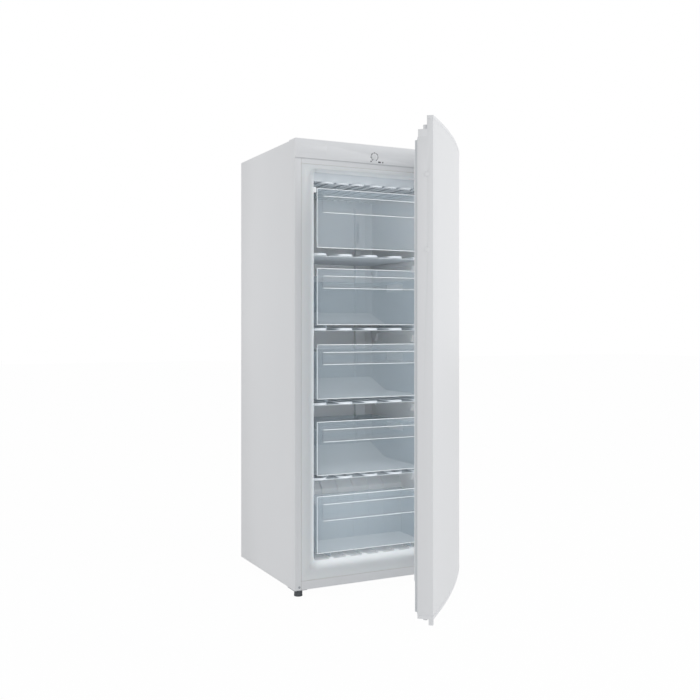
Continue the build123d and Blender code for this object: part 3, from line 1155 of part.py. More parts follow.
with BuildPart() as edge_plugs:
    for z in EDGE_PLUG_LEVELS:
        crosswise((-DOOR_HALF - EDGE_PLUG_PROUD, -DOOR_HALF), -LIP_BACK, z, EDGE_PLUG)
        crosswise((-DOOR_HALF, -DOOR_HALF + EDGE_PLUG_DEPTH), -LIP_BACK, z, EDGE_PLUG_STEM - PLUG_FIT)
keep(edge_plugs, "door_edge_plugs", on_door=True)

# ---------------------------------------------------------------- place and write
hinge_axis = Axis((HINGE_X, -HINGE_FORWARD, 0), (0, 0, 1))
for name in door_pieces:
    pieces[name] = pieces[name].rotate(hinge_axis, DOOR_ANGLE)
    pieces[name].label = name

boxes = [part.bounding_box() for part in pieces.values()]
low_x = min(box.min.X for box in boxes)
high_x = max(box.max.X for box in boxes)
low_y = min(box.min.Y for box in boxes)
high_y = max(box.max.Y for box in boxes)
shift = Location((-(low_x + high_x) / 2, -(low_y + high_y) / 2, 0))

os.makedirs("parts", exist_ok=True)
for name, part in pieces.items():
    placed = part.moved(shift)
    placed.label = name
    export_step(placed, f"parts/{name}.step")
print(len(pieces), "nodes; origin moved by", shift.position, "size", high_x - low_x, high_y - low_y)
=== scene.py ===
"""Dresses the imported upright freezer: finishes for every node, softened mouldings and printed marks."""
import json
import math

import bpy
from bpy.props import FloatProperty, FloatVectorProperty, PointerProperty
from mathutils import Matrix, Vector


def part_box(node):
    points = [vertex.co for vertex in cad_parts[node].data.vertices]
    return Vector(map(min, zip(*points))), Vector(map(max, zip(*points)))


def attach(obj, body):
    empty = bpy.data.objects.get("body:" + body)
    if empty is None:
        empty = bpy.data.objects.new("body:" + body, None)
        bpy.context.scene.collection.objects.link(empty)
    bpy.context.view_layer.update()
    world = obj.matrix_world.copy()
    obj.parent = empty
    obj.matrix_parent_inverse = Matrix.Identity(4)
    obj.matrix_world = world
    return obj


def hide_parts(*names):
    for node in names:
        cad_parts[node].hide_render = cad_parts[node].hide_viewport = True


bl_info = {
    "name": "Upright Freezer Dressing",
    "version": (1, 0, 0),
    "blender": (4, 5, 0),
    "location": "3D View > Sidebar > Freezer",
    "description": "Finishes an upright freezer built on a CAD frame",
    "category": "Object",
}

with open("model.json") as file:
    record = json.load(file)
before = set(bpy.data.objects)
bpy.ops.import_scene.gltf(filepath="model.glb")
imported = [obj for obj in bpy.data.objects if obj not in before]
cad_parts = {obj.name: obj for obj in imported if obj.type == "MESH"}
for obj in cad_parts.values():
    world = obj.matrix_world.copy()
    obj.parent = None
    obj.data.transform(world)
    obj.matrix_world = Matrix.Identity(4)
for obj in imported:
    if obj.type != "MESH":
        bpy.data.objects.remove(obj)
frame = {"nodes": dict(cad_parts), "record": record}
NODES = frame["nodes"]
BODY_OF = {node: body for body, nodes in frame["record"]["behaviour"]["bodies"].items() for node in nodes}
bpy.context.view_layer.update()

MM = 0.001
PLACES = ("bottom", "lower", "middle", "upper")
SHELVES = ("shelf_1", "shelf_2", "shelf_3", "shelf_4")

# Grip band of a drawer front or the flap: its top below the front's top, and its height.
GRIP_DROP = 25.5 * MM
GRIP_HEIGHT = 42.5 * MM
DEEP_GRIP_HEIGHT = 56.5 * MM
GRIP_INSET = 20 * MM
GRIP_PROUD = 7.5 * MM
FLAP_PIN_REACH = 12 * MM  # how far the flap's pins stand out at each side

# Radii of the rounded edges that no setting covers.
ROUNDS = {
    "badge_plate": 0.25 * MM, "thermostat_knob": 0.5 * MM, "inner_liner": 1.6 * MM, "tube_chase": 0.6 * MM,
    "door_liner": 2.0 * MM, "door_edge_plugs": 2.2 * MM, "feet": 0.5 * MM,
}
BEAD_SIDES = 12

# The printed scale: where it starts and stops, its steps, its strokes and the length of a tick.
SCALE_START = math.radians(-60)
SCALE_STOP = math.radians(240)
SCALE_STEPS = 6
SCALE_STROKES = 48
SCALE_THIN = 0.8  # width of the arc's strokes, as a share of a tick's
TICK_LENGTH = 4.0 * MM
LAMP_MARKS_MM = ((19, -17, 10, 4.5), (32, -17, 4, 4.5), (-13, -16, 4.5, 4.5))  # x, z, width, height

# The camera of the photograph, from the cabinet's left front corner on the floor.
CAMERA_FROM_CORNER = Vector((-1193.0, -2774.0, 886.0)) * MM
CAMERA_YAW = math.radians(26.69)
CAMERA_LENS = 47.58
CAMERA_SHIFT = -0.034

# Soft lamps of the studio: place and aim in metres, width, power in watts.
LAMPS = {
    "key": ((2.6, -3.4, 2.6), (0.1, -0.1, 0.8), 2.6, 44),
    "fill": ((-2.2, -3.2, 1.8), (0, 0, 0.8), 3.0, 4),
    "side": ((-4.2, 0.6, 2.2), (-0.3, 0.2, 0.8), 3.0, 13),
}
AMBIENT = 0.58  # strength of the studio's own light

# Share of plain white in the floor: what every ray meets, and what the camera meets on top of it.
FLOOR_GLOW = 0.38
FLOOR_GLOW_SEEN = 0.6

# A soft lamp in the opening, behind the closed door's back, which neither the camera nor a reflection sees.
INSIDE_LAMP_AWAY = 6 * MM
INSIDE_LAMP_WIDTH = 0.8  # of the liner's width
INSIDE_LAMP_HEIGHT = 0.93  # of the liner's height
INSIDE_LAMP_POWER = 1.0


def linear(code):
    """An sRGB hex colour as linear RGB."""
    parts = [int(code[i:i + 2], 16) / 255 for i in (1, 3, 5)]
    return tuple(p / 12.92 if p <= 0.04045 else ((p + 0.055) / 1.055) ** 2.4 for p in parts)


def opaque(colour):
    """RGB with full alpha, for a colour socket."""
    return (colour[0], colour[1], colour[2], 1.0)


# ------------------------------------------------------------------ settings
class FreezerSizes(bpy.types.PropertyGroup):
    """Sizes that a user would change."""

    moulding_round: FloatProperty(
        name="Moulding round", description="Radius on the edges of moulded covers",
        default=1.2 * MM, unit="LENGTH")
    sheet_round: FloatProperty(
        name="Sheet round", description="Radius on the edges of folded sheet",
        default=0.35 * MM, unit="LENGTH")
    clear_round: FloatProperty(
        name="Clear plastic round", description="Radius on the edges of drawer fronts and tubs",
        default=0.7 * MM, unit="LENGTH")
    # The rims are painted highlights: white, faintly glowing beads along the edges of the clear fronts.
    highlight_bead_width: FloatProperty(
        name="Rim width", description="Width of the bright moulded painted_highlights on drawer fronts",
        default=2.0 * MM, unit="LENGTH")
    dial_radius: FloatProperty(
        name="Dial radius", description="Radius of the printed arc round the knob",
        default=13.2 * MM, unit="LENGTH")
    print_width: FloatProperty(
        name="Print width", description="Width of the printed lines",
        default=1.7 * MM, unit="LENGTH")
    print_height: FloatProperty(
        name="Print height", description="How far the print stands off the panel",
        default=0.06 * MM, unit="LENGTH")
    floor_size: FloatProperty(
        name="Floor size", description="Width of the studio floor",
        default=40.0, unit="LENGTH")


class FreezerColours(bpy.types.PropertyGroup):
    """Colours that a user would change."""

    enamel: FloatVectorProperty(
        name="Enamel", description="Painted steel of the cabinet and door",
        default=linear("#ECEDEF"), subtype="COLOR")
    moulding: FloatVectorProperty(
        name="Moulding", description="White ABS of panel and caps",
        default=linear("#EDEEF0"), subtype="COLOR")
    liner: FloatVectorProperty(
        name="Liner", description="White polystyrene inside",
        default=linear("#ECEFF1"), subtype="COLOR")
    clear: FloatVectorProperty(
        name="Clear plastic", description="Tint of the drawer fronts",
        default=linear("#CFE0EC"), subtype="COLOR")
    ink: FloatVectorProperty(
        name="Ink", description="Printed marks",
        default=linear("#33373D"), subtype="COLOR")


# ------------------------------------------------------------------ node helper
def add_node(tree, kind, settings=None, inputs=None):
    """Add a node; an input is a value, or a (node, output) pair to link from."""
    node = tree.nodes.new(kind)
    for key, value in (settings or {}).items():
        setattr(node, key, value)
    for key, value in (inputs or {}).items():
        if isinstance(value, tuple) and isinstance(value[0], bpy.types.Node):
            tree.links.new(value[0].outputs[value[1]], node.inputs[key])
        else:
            node.inputs[key].default_value = value
    return node


def start_material(name):
    """An empty material with its output and object coordinates: (material, tree, output, coordinates)."""
    material = bpy.data.materials.new(name)
    material.use_nodes = True
    tree = material.node_tree
    tree.nodes.clear()
    output = add_node(tree, "ShaderNodeOutputMaterial")
    coordinates = add_node(tree, "ShaderNodeTexCoord")
    return material, tree, output, coordinates


def surface(name, colour, roughness, mottle_mm, mottle, grain_mm, grain, metallic=0.0, stretch=(1, 1, 1),
            sockets=None):
    """A surface with slow colour mottling, a fine grain in its relief and roughness that follows both.

    mottle_mm and grain_mm are the sizes of the two patterns; mottle is the darkening in its darker
    parts and grain is the relief's height in millimetres; stretch draws the grain out along an axis.
    """
    material, tree, output, coordinates = start_material(name)
    slow = add_node(tree, "ShaderNodeTexNoise", inputs={
        "Vector": (coordinates, "Object"), "Scale": 1 / (mottle_mm * MM), "Detail": 3.0})
    shade = add_node(tree, "ShaderNodeMix", {"data_type": "RGBA"}, {
        0: (slow, "Fac"), 6: opaque([c * (1 - mottle) for c in colour]), 7: opaque(colour)})
    spread = add_node(tree, "ShaderNodeMapping", inputs={
        "Vector": (coordinates, "Object"), "Scale": stretch})
    fine = add_node(tree, "ShaderNodeTexNoise", inputs={
        "Vector": (spread, "Vector"), "Scale": 1 / (grain_mm * MM), "Detail": 2.0})
    relief = add_node(tree, "ShaderNodeBump", inputs={
        "Height": (fine, "Fac"), "Distance": grain * MM, "Strength": 1.0})
    polish = add_node(tree, "ShaderNodeMapRange", inputs={
        "Value": (fine, "Fac"), "To Min": roughness[0], "To Max": roughness[1]})
    shader = add_node(tree, "ShaderNodeBsdfPrincipled", inputs={
        "Base Color": (shade, 2), "Roughness": (polish, "Result"), "Normal": (relief, "Normal"),
        "Metallic": metallic})
    for key, value in (sockets or {}).items():
        shader.inputs[key].default_value = value
    tree.links.new(shader.outputs["BSDF"], output.inputs["Surface"])
    return material


# ------------------------------------------------------------------ materials
def powder_coated_steel(colours):
    """Sheet steel, powder-coated and baked: the faint orange peel breaks up its soft gloss."""
    return surface("powder_coated_steel", colours.enamel, (0.34, 0.42), 160, 0.015, 1.6, 0.012)


def moulded_abs(colours):
    """ABS, injection moulded in a satin tool: smoother than the steel, with an even low sheen."""
    return surface("moulded_white_abs", colours.moulding, (0.3, 0.38), 90, 0.012, 0.8, 0.006)


def vacuum_formed_polystyrene(colours):
    """High-impact polystyrene, vacuum formed: glossy, and slightly wavy where the sheet stretched."""
    return surface("vacuum_formed_polystyrene", colours.liner, (0.26, 0.36), 120, 0.03, 9.0, 0.05,
                   sockets={"Subsurface Weight": 0.05, "Subsurface Scale": 2 * MM})


def painted_evaporator(colours):
    """Aluminium sheet and tube under white epoxy: even, with a little settled frost bloom."""
    return surface("epoxy_painted_aluminium", linear("#E4EAEF"), (0.4, 0.55), 40, 0.05, 2.5, 0.03)


def zinc_plated_steel():
    """Zinc-plated steel: dull silver with a spangle of flat crystals about 6 mm across."""
    return surface("zinc_plated_steel", linear("#AEB2B6"), (0.32, 0.5), 6, 0.14, 1.2, 0.01, metallic=1.0)


def black_enamel():
    """Steel dipped in black enamel: thick soft gloss that rounds over welds and wires."""
    return surface("black_stoved_enamel", linear("#1B1C1E"), (0.28, 0.4), 30, 0.2, 2.2, 0.03)


def drawn_copper():
    """Drawn copper tube: warm metal with long drawing marks and brown tarnish."""
    return surface("drawn_copper", linear("#B9734C"), (0.25, 0.5), 12, 0.35, 1.5, 0.01, metallic=1.0)


def expanded_foam():
    """Polyurethane foam with an open skin: matt straw colour, pitted like a sponge."""
    return surface("polyurethane_foam", linear("#A39A7C"), (0.8, 0.95), 25, 0.15, 2.0, 0.5)


def filled_polyamide():
    """Glass-filled nylon, moulded dark grey: matt, with a fine speckle."""
    return surface("glass_filled_nylon", linear("#63676B"), (0.5, 0.7), 10, 0.15, 0.7, 0.03)


def extruded_vinyl():
    """Soft white vinyl, extruded: a dull sheen, wiped lengthways."""
    return surface("extruded_soft_vinyl", linear("#DADDE0"), (0.5, 0.62), 60, 0.03, 1.2, 0.02)


def magnet_rubber():
    """Ferrite-filled rubber strip: near-black brown and quite matt."""
    return surface("ferrite_filled_rubber", linear("#2E2825"), (0.7, 0.85), 8, 0.2, 0.6, 0.02)


def black_rubber():
    """Moulded nitrile rubber: matt black with a soft bloom."""
    return surface("moulded_nitrile_rubber", linear("#1A1A1A"), (0.6, 0.8), 9, 0.25, 0.7, 0.03)


def printing_ink(colours):
    """Pad-printed ink: flat, thin and slightly mottled at its edges."""
    return surface("pad_printed_ink", colours.ink, (0.45, 0.6), 3, 0.1, 0.5, 0.004)


def clear_styrene(name, colours, across, edge, glow, roughness):
    """Clear polystyrene, moulded: see-through across its wall, with a painted highlight along its edges.

    across and edge are the opacities seen square on and on the thin edges, told apart by the
    direction the surface faces on the piece itself; on these edges the colour is also whitened, and glow
    is the strength of a white emission painted on them as a highlight.
    """
    material, tree, output, coordinates = start_material(name)
    facing = add_node(tree, "ShaderNodeSeparateXYZ", inputs={"Vector": (coordinates, "Normal")})
    lengthways = add_node(tree, "ShaderNodeMath", {"operation": "ABSOLUTE"}, {0: (facing, "Z")})
    opacity = add_node(tree, "ShaderNodeMapRange", {"interpolation_type": "SMOOTHSTEP"}, {
        "Value": (lengthways, "Value"), "From Min": 0.55, "From Max": 1.0, "To Min": across, "To Max": edge})
    # Painted highlight: a white glow on the faces that point up or down, which no lamp gives.
    painted_edge_glow = add_node(tree, "ShaderNodeMapRange", {"interpolation_type": "SMOOTHSTEP"}, {
        "Value": (lengthways, "Value"), "From Min": 0.55, "From Max": 1.0, "To Max": glow})
    smear = add_node(tree, "ShaderNodeTexNoise", inputs={
        "Vector": (coordinates, "Object"), "Scale": 1 / (70 * MM), "Detail": 3.0})
    polish = add_node(tree, "ShaderNodeMapRange", inputs={
        "Value": (smear, "Fac"), "To Min": roughness, "To Max": roughness + 0.08})
    # Painted highlight: the same faces are whitened from the clear tint towards near-white.
    tint_and_painted_highlight = add_node(tree, "ShaderNodeMix", {"data_type": "RGBA"}, {
        0: (lengthways, "Value"), 6: opaque(colours.clear), 7: opaque(linear("#F2F7FA"))})
    flow = add_node(tree, "ShaderNodeTexNoise", inputs={
        "Vector": (coordinates, "Object"), "Scale": 1 / (25 * MM), "Detail": 1.0})
    relief = add_node(tree, "ShaderNodeBump", inputs={
        "Height": (flow, "Fac"), "Distance": 0.1 * MM, "Strength": 1.0})
    shader = add_node(tree, "ShaderNodeBsdfPrincipled", inputs={
        "Base Color": (tint_and_painted_highlight, 2), "Roughness": (polish, "Result"), "Alpha": (opacity, "Result"),
        "Normal": (relief, "Normal"), "IOR": 1.59, "Emission Color": (1, 1, 1, 1),
        "Emission Strength": (painted_edge_glow, "Result")})
    tree.links.new(shader.outputs["BSDF"], output.inputs["Surface"])
    return material


def painted_edge_highlight():
    """Painted highlight for the rims of the clear fronts: near-white plastic with a faint white glow,
    standing for the bright line where light caught in the sheet leaves it.
    """
    return surface("painted_edge_highlight", linear("#F4F8FA"), (0.1, 0.2), 35, 0.12, 6.0, 0.02,
                   # Painted highlight: a faint white glow that no lamp gives.
                   sockets={"Emission Color": (1, 1, 1, 1), "Emission Strength": 0.08})


# ------------------------------------------------------------------ modelling helpers
def paint(nodes, material):
    """Give CAD nodes or pieces one material."""
    for node in nodes:
        piece = NODES[node] if isinstance(node, str) else node
        piece.data.materials.clear()
        piece.data.materials.append(material)


def only(piece):
    """Make one object the only selected and the active one."""
    bpy.ops.object.select_all(action="DESELECT")
    piece.select_set(True)
    bpy.context.view_layer.objects.active = piece


def softened(node, width, material, segments=2):
    """A merged copy of a CAD node with its sharp edges rounded, standing for that node."""
    piece = bpy.data.objects.new(f"{node}_finished", NODES[node].data.copy())
    bpy.context.scene.collection.objects.link(piece)
    only(piece)
    bpy.ops.object.mode_set(mode="EDIT")
    bpy.ops.mesh.select_all(action="SELECT")
    bpy.ops.mesh.remove_doubles(threshold=0.005 * MM)
    bpy.ops.mesh.dissolve_limited(angle_limit=math.radians(0.5))
    bpy.ops.object.mode_set(mode="OBJECT")
    bevel = piece.modifiers.new("Edges", "BEVEL")
    bevel.width = width
    bevel.segments = segments
    bevel.limit_method = "ANGLE"
    bevel.angle_limit = math.radians(40)
    bevel.use_clamp_overlap = True
    bpy.ops.object.modifier_apply(modifier=bevel.name)
    bpy.ops.object.shade_smooth_by_angle(angle=math.radians(35))
    paint([piece], material)
    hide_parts(node)
    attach(piece, BODY_OF[node])
    return piece


def joined(context, parts):
    """The parts made one object."""
    bpy.ops.object.select_all(action="DESELECT")
    for part in parts:
        part.select_set(True)
    context.view_layer.objects.active = parts[0]
    bpy.ops.object.join()
    return parts[0]


def set_down(piece, name, material, body):
    """Put a finished piece's place into its mesh, and hand it to its body and finish."""
    only(piece)
    bpy.ops.object.transform_apply(location=True, rotation=True, scale=True)
    piece.name = name
    paint([piece], material)
    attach(piece, body)


def bead(context, start, end, radius):
    """A smooth round bar from one place to another."""
    run = end - start
    bpy.ops.object.select_all(action="DESELECT")
    bpy.ops.mesh.primitive_cylinder_add(
        vertices=BEAD_SIDES, radius=radius, depth=run.length, location=(start + end) / 2,
        rotation=run.to_track_quat("Z", "Y").to_euler())
    bpy.ops.object.shade_smooth_by_angle(angle=math.radians(40))
    return context.active_object


# ------------------------------------------------------------------ stage
def soft_light(name, place, aim, size, power):
    """One large square lamp that points at a place."""
    lamp = bpy.data.lights.new(name, "AREA")
    lamp.shape = "SQUARE"
    lamp.size = size
    lamp.energy = power
    holder = bpy.data.objects.new(name, lamp)
    holder.location = place
    holder.rotation_euler = (Vector(aim) - Vector(place)).to_track_quat("-Z", "Y").to_euler()
    bpy.context.scene.collection.objects.link(holder)
    return holder


class FREEZER_OT_stage(bpy.types.Operator):
    """Set up the pale floor, the soft studio light and the camera"""

    bl_idname = "freezer.stage"
    bl_label = "Stage"

    def execute(self, context):
        scene = context.scene
        scene.view_settings.view_transform = "Standard"
        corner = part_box("side_panel_left")[0]
        camera = bpy.data.objects.new("camera", bpy.data.cameras.new("camera"))
        camera.data.lens = CAMERA_LENS
        camera.data.shift_y = CAMERA_SHIFT
        camera.location = (
            corner.x + CAMERA_FROM_CORNER.x, corner.y + CAMERA_FROM_CORNER.y, CAMERA_FROM_CORNER.z)
        camera.rotation_euler = (math.pi / 2, 0, -CAMERA_YAW)
        scene.collection.objects.link(camera)
        scene.camera = camera

        bpy.ops.object.select_all(action="DESELECT")
        bpy.ops.mesh.primitive_plane_add(size=scene.freezer_sizes.floor_size, location=(0, 0, 0))
        floor = context.active_object
        floor.name = "studio_floor"
        paint([floor], self.floor_material())

        scene.world = self.studio_world()
        for name, (place, aim, size, power) in LAMPS.items():
            soft_light(name, place, aim, size, power)
        low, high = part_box("inner_liner")
        middle = (low + high) / 2
        inner = soft_light("inside", (middle.x, low.y - INSIDE_LAMP_AWAY, middle.z), middle,
                           INSIDE_LAMP_WIDTH * (high.x - low.x), INSIDE_LAMP_POWER)
        inner.data.shape = "RECTANGLE"
        inner.data.size_y = INSIDE_LAMP_HEIGHT * (high.z - low.z)
        inner.visible_camera = False
        inner.visible_glossy = False
        return {"FINISHED"}

    def floor_material(self):
        """White seamless paper that glows a little, so the shadow on it stays faint."""
        material, tree, output, coordinates = start_material("seamless_paper")
        tooth = add_node(tree, "ShaderNodeTexNoise", inputs={
            "Vector": (coordinates, "Object"), "Scale": 1 / (4 * MM)})
        relief = add_node(tree, "ShaderNodeBump", inputs={"Height": (tooth, "Fac"), "Distance": 0.02 * MM})
        paper = add_node(tree, "ShaderNodeBsdfDiffuse", inputs={
            "Color": opaque(linear("#FAFAFA")), "Normal": (relief, "Normal")})
        glow = add_node(tree, "ShaderNodeEmission", inputs={"Color": (1, 1, 1, 1), "Strength": 1.0})
        path = add_node(tree, "ShaderNodeLightPath")
        share = add_node(tree, "ShaderNodeMath", {"operation": "MULTIPLY"}, {
            0: (path, "Is Camera Ray"), 1: FLOOR_GLOW_SEEN})
        lit = add_node(tree, "ShaderNodeMath", {"operation": "ADD"}, {0: (share, "Value"), 1: FLOOR_GLOW})
        mix = add_node(tree, "ShaderNodeMixShader", inputs={0: (lit, "Value"), 1: (paper, 0), 2: (glow, 0)})
        tree.links.new(mix.outputs[0], output.inputs["Surface"])
        return material

    def studio_world(self):
        """An even grey-white sky for the light, pure white where the camera or a reflection sees it."""
        world = bpy.data.worlds.new("studio")
        world.use_nodes = True
        tree = world.node_tree
        tree.nodes.clear()
        output = add_node(tree, "ShaderNodeOutputWorld")
        path = add_node(tree, "ShaderNodeLightPath")
        seen = add_node(tree, "ShaderNodeMath", {"operation": "MAXIMUM"}, {
            0: (path, "Is Camera Ray"), 1: (path, "Is Glossy Ray")})
        seen_or_through = add_node(tree, "ShaderNodeMath", {"operation": "MAXIMUM"}, {
            0: (seen, "Value"), 1: (path, "Is Transmission Ray")})
        ambient = add_node(tree, "ShaderNodeBackground", inputs={
            "Color": opaque(linear("#FAFBFC")), "Strength": AMBIENT})
        white = add_node(tree, "ShaderNodeBackground", inputs={"Color": (1, 1, 1, 1), "Strength": 1.0})
        mix = add_node(tree, "ShaderNodeMixShader", inputs={
            0: (seen_or_through, "Value"), 1: (ambient, 0), 2: (white, 0)})
        tree.links.new(mix.outputs[0], output.inputs["Surface"])
        return world


# ------------------------------------------------------------------ pieces
class FREEZER_OT_shell(bpy.types.Operator):
    """Finish the painted steel shell, its rails and the hidden sheet metal"""

    bl_idname = "freezer.shell"
    bl_label = "Cabinet shell"

    def execute(self, context):
        sizes = context.scene.freezer_sizes
        enamel = powder_coated_steel(context.scene.freezer_colours)
        for node in ("side_panel_left", "side_panel_right"):
            softened(node, sizes.sheet_round, enamel)
        paint(("top_panel", "front_rail_top", "front_rail_bottom"), enamel)
        zinc = zinc_plated_steel()
        paint(("back_panel", "compressor_bay_liner", "base_plate", "compressor_base", "foot_inserts",
               "foot_bracket_left", "hinge_bracket_top", "hinge_bracket_bottom", "roller_brackets",
               "cabinet_screws"), zinc)
        paint(("insulation_foam", "door_foam"), expanded_foam())
        return {"FINISHED"}


class FREEZER_OT_control_panel(bpy.types.Operator):
    """Finish the control panel, its knob and the printed scale"""

    bl_idname = "freezer.control_panel"
    bl_label = "Control panel"

    def execute(self, context):
        sizes = context.scene.freezer_sizes
        colours = context.scene.freezer_colours
        abs_white = moulded_abs(colours)
        ink = printing_ink(colours)
        softened("fascia", sizes.moulding_round, abs_white, 3)
        softened("badge_plate", ROUNDS["badge_plate"], abs_white)
        softened("thermostat_knob", ROUNDS["thermostat_knob"], abs_white, 3)
        paint(("thermostat",), filled_polyamide())
        low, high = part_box("thermostat_knob")
        centre = (low + high) / 2
        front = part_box("fascia")[0].y
        self.print_scale(context, centre, front, sizes, ink)
        return {"FINISHED"}

    def print_scale(self, context, centre, front, sizes, ink):
        """An arc from the lowest to the highest setting, a tick at each step and three plain marks."""
        turn = (SCALE_STOP - SCALE_START) / SCALE_STROKES
        parts = []
        for i in range(SCALE_STROKES + 1):
            angle = SCALE_START + turn * i
            major = i % (SCALE_STROKES // SCALE_STEPS) == 0
            length = TICK_LENGTH if major else sizes.dial_radius * turn
            place = (centre.x + math.cos(angle) * sizes.dial_radius, front - sizes.print_height / 2,
                     centre.z + math.sin(angle) * sizes.dial_radius)
            bpy.ops.object.select_all(action="DESELECT")
            bpy.ops.mesh.primitive_cube_add(size=1, location=place)
            mark = context.active_object
            mark.scale = (sizes.print_width * (1 if major else SCALE_THIN), sizes.print_height, length)
            mark.rotation_euler = (0, -angle + (math.pi / 2 if major else 0), 0)
            parts.append(mark)
        for dx, dz, width, height in LAMP_MARKS_MM:
            bpy.ops.object.select_all(action="DESELECT")
            bpy.ops.mesh.primitive_cube_add(size=1, location=(
                centre.x + dx * MM, front - sizes.print_height / 2, centre.z + dz * MM))
            mark = context.active_object
            mark.scale = (width * MM, sizes.print_height, height * MM)
            parts.append(mark)
        set_down(joined(context, parts), "dial_scale", ink, "cabinet")


class FREEZER_OT_liner(bpy.types.Operator):
    """Finish the inner liner, the tube cover and the flap's brackets"""

    bl_idname = "freezer.liner"
    bl_label = "Inner liner"

    def execute(self, context):
        styrene = vacuum_formed_polystyrene(context.scene.freezer_colours)
        softened("inner_liner", ROUNDS["inner_liner"], styrene, 3)
        softened("tube_chase", ROUNDS["tube_chase"], styrene)
        softened("door_liner", ROUNDS["door_liner"], styrene, 3)
        paint(("flap_brackets",), styrene)
        return {"FINISHED"}


class FREEZER_OT_evaporators(bpy.types.Operator):
    """Finish the evaporator shelves"""

    bl_idname = "freezer.evaporators"
    bl_label = "Evaporator shelves"

    def execute(self, context):
        painted = painted_evaporator(context.scene.freezer_colours)
        for node in SHELVES + ("evaporator_top", "riser_tubes"):
            paint((node,), painted)
            only(NODES[node])
            bpy.ops.object.shade_smooth_by_angle(angle=math.radians(35))
        return {"FINISHED"}


class FREEZER_OT_drawers(bpy.types.Operator):
    """Finish the clear drawers and the flap"""

    bl_idname = "freezer.drawers"
    bl_label = "Drawers and flap"

    def execute(self, context):
        sizes = context.scene.freezer_sizes
        colours = context.scene.freezer_colours
        # Painted highlights: the fronts' top and bottom edges glow white at 0.4; the tubs' faces that point
        # up or down glow faintly at 0.06.
        front = clear_styrene("clear_moulded_styrene", colours, 0.16, 0.9, 0.4, 0.06)
        tub = clear_styrene("frosted_moulded_styrene", colours, 0.26, 0.4, 0.06, 0.25)
        for place in PLACES:
            softened(f"drawer_{place}_front", sizes.clear_round, front)
            softened(f"drawer_{place}_tub", sizes.clear_round, tub)
        softened("flap", sizes.clear_round, front)
        # Painted highlights: white beads along the edges of the fronts and their grip bands stand for the
        # bright edge lines.
        rim = painted_edge_highlight()
        for place in PLACES:
            deep = DEEP_GRIP_HEIGHT if place == "bottom" else GRIP_HEIGHT
            self.bright_rims(context, f"drawer_{place}_front", deep, f"{place}_drawer", rim)
        self.bright_rims(context, "flap", DEEP_GRIP_HEIGHT, "flap", rim)
        return {"FINISHED"}

    def bright_rims(self, context, node, grip_height, body, material):
        """Painted highlights: half-sunk white beads along the edges of a clear front and of its grip band.
        """
        low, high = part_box(node)
        width = context.scene.freezer_sizes.highlight_bead_width
        pins = FLAP_PIN_REACH if node == "flap" else 0
        left, right = low.x + pins + width, high.x - pins - width
        face = low.y + GRIP_PROUD
        grip_top = high.z - GRIP_DROP
        grip_left, grip_right = left + GRIP_INSET, right - GRIP_INSET
        lines = [
            ((left, face, high.z - width / 2), (right, face, high.z - width / 2)),
            ((left, face, low.z + width / 2), (right, face, low.z + width / 2)),
            ((left, face, low.z + width), (left, face, high.z - width)),
            ((right, face, low.z + width), (right, face, high.z - width)),
            ((grip_left, low.y, grip_top - width / 2), (grip_right, low.y, grip_top - width / 2)),
            ((grip_left, low.y, grip_top - grip_height + width / 2),
             (grip_right, low.y, grip_top - grip_height + width / 2)),
        ]
        beads = [bead(context, Vector(start), Vector(end), width / 2) for start, end in lines]
        set_down(joined(context, beads), f"{node}_rims", material, body)


class FREEZER_OT_door(bpy.types.Operator):
    """Finish the door's skin, caps, seal and small parts"""

    bl_idname = "freezer.door"
    bl_label = "Door"

    def execute(self, context):
        sizes = context.scene.freezer_sizes
        colours = context.scene.freezer_colours
        softened("door_panel", sizes.sheet_round, bpy.data.materials["powder_coated_steel"])
        abs_white = bpy.data.materials["moulded_white_abs"]
        for node in ("door_cap_top", "door_cap_bottom"):
            softened(node, sizes.moulding_round, abs_white, 3)
        softened("door_edge_plugs", ROUNDS["door_edge_plugs"], abs_white, 4)
        paint(("door_gasket",), extruded_vinyl())
        paint(("gasket_magnet",), magnet_rubber())
        paint(("door_hinge_bushes",), filled_polyamide())
        return {"FINISHED"}


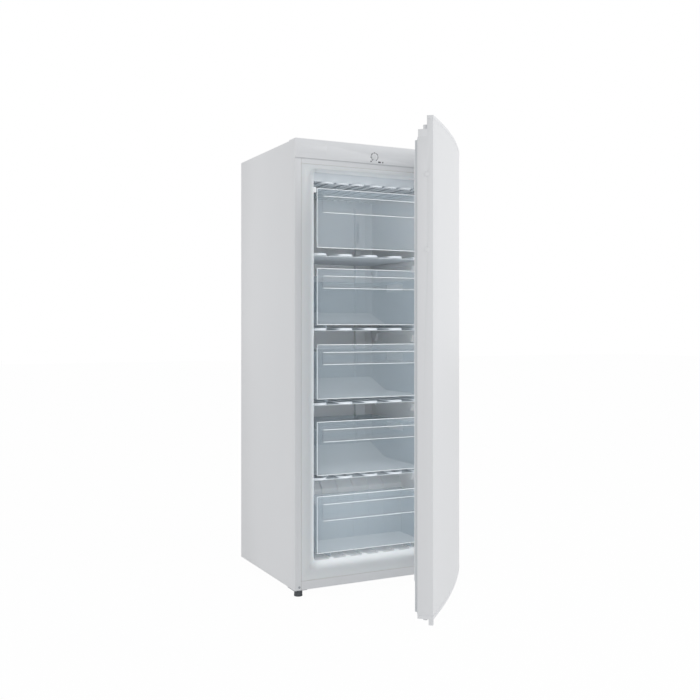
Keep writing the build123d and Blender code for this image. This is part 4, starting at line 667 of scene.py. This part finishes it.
class FREEZER_OT_cooling_unit(bpy.types.Operator):
    """Finish the compressor, condenser and pipes"""

    bl_idname = "freezer.cooling_unit"
    bl_label = "Cooling unit"

    def execute(self, context):
        enamel = black_enamel()
        paint(("compressor", "condenser"), enamel)
        paint(("compressor_mounts",), black_rubber())
        grey = filled_polyamide()
        paint(("relay_cover", "condenser_brackets", "cord_gland"), grey)
        paint(("filter_drier", "refrigerant_lines"), drawn_copper())
        return {"FINISHED"}


class FREEZER_OT_feet(bpy.types.Operator):
    """Finish the feet and rollers"""

    bl_idname = "freezer.feet"
    bl_label = "Feet and rollers"

    def execute(self, context):
        grey = filled_polyamide()
        for node in ("foot_left", "foot_right", "roller_left", "roller_right"):
            softened(node, ROUNDS["feet"], grey)
        return {"FINISHED"}


class FREEZER_PT_panel(bpy.types.Panel):
    """Lists the steps that dress the freezer"""

    bl_label = "Upright freezer"
    bl_idname = "FREEZER_PT_panel"
    bl_space_type = "VIEW_3D"
    bl_region_type = "UI"
    bl_category = "Freezer"

    def draw(self, context):
        for operator in OPERATORS:
            self.layout.operator(operator.bl_idname)


OPERATORS = (
    FREEZER_OT_stage, FREEZER_OT_shell, FREEZER_OT_control_panel, FREEZER_OT_liner,
    FREEZER_OT_evaporators, FREEZER_OT_drawers, FREEZER_OT_door, FREEZER_OT_cooling_unit, FREEZER_OT_feet,
)
CLASSES = (FreezerSizes, FreezerColours) + OPERATORS + (FREEZER_PT_panel,)


def register():
    """Register the classes and hang the settings on the scene."""
    for item in CLASSES:
        bpy.utils.register_class(item)
    bpy.types.Scene.freezer_sizes = PointerProperty(type=FreezerSizes)
    bpy.types.Scene.freezer_colours = PointerProperty(type=FreezerColours)


def unregister():
    """Take the settings and classes away again."""
    del bpy.types.Scene.freezer_colours
    del bpy.types.Scene.freezer_sizes
    for item in reversed(CLASSES):
        bpy.utils.unregister_class(item)


def main():
    """Run every step in order."""
    register()
    bpy.ops.freezer.stage()
    bpy.ops.freezer.shell()
    bpy.ops.freezer.control_panel()
    bpy.ops.freezer.liner()
    bpy.ops.freezer.evaporators()
    bpy.ops.freezer.drawers()
    bpy.ops.freezer.door()
    bpy.ops.freezer.cooling_unit()
    bpy.ops.freezer.feet()


if __name__ == "__main__":
    main()
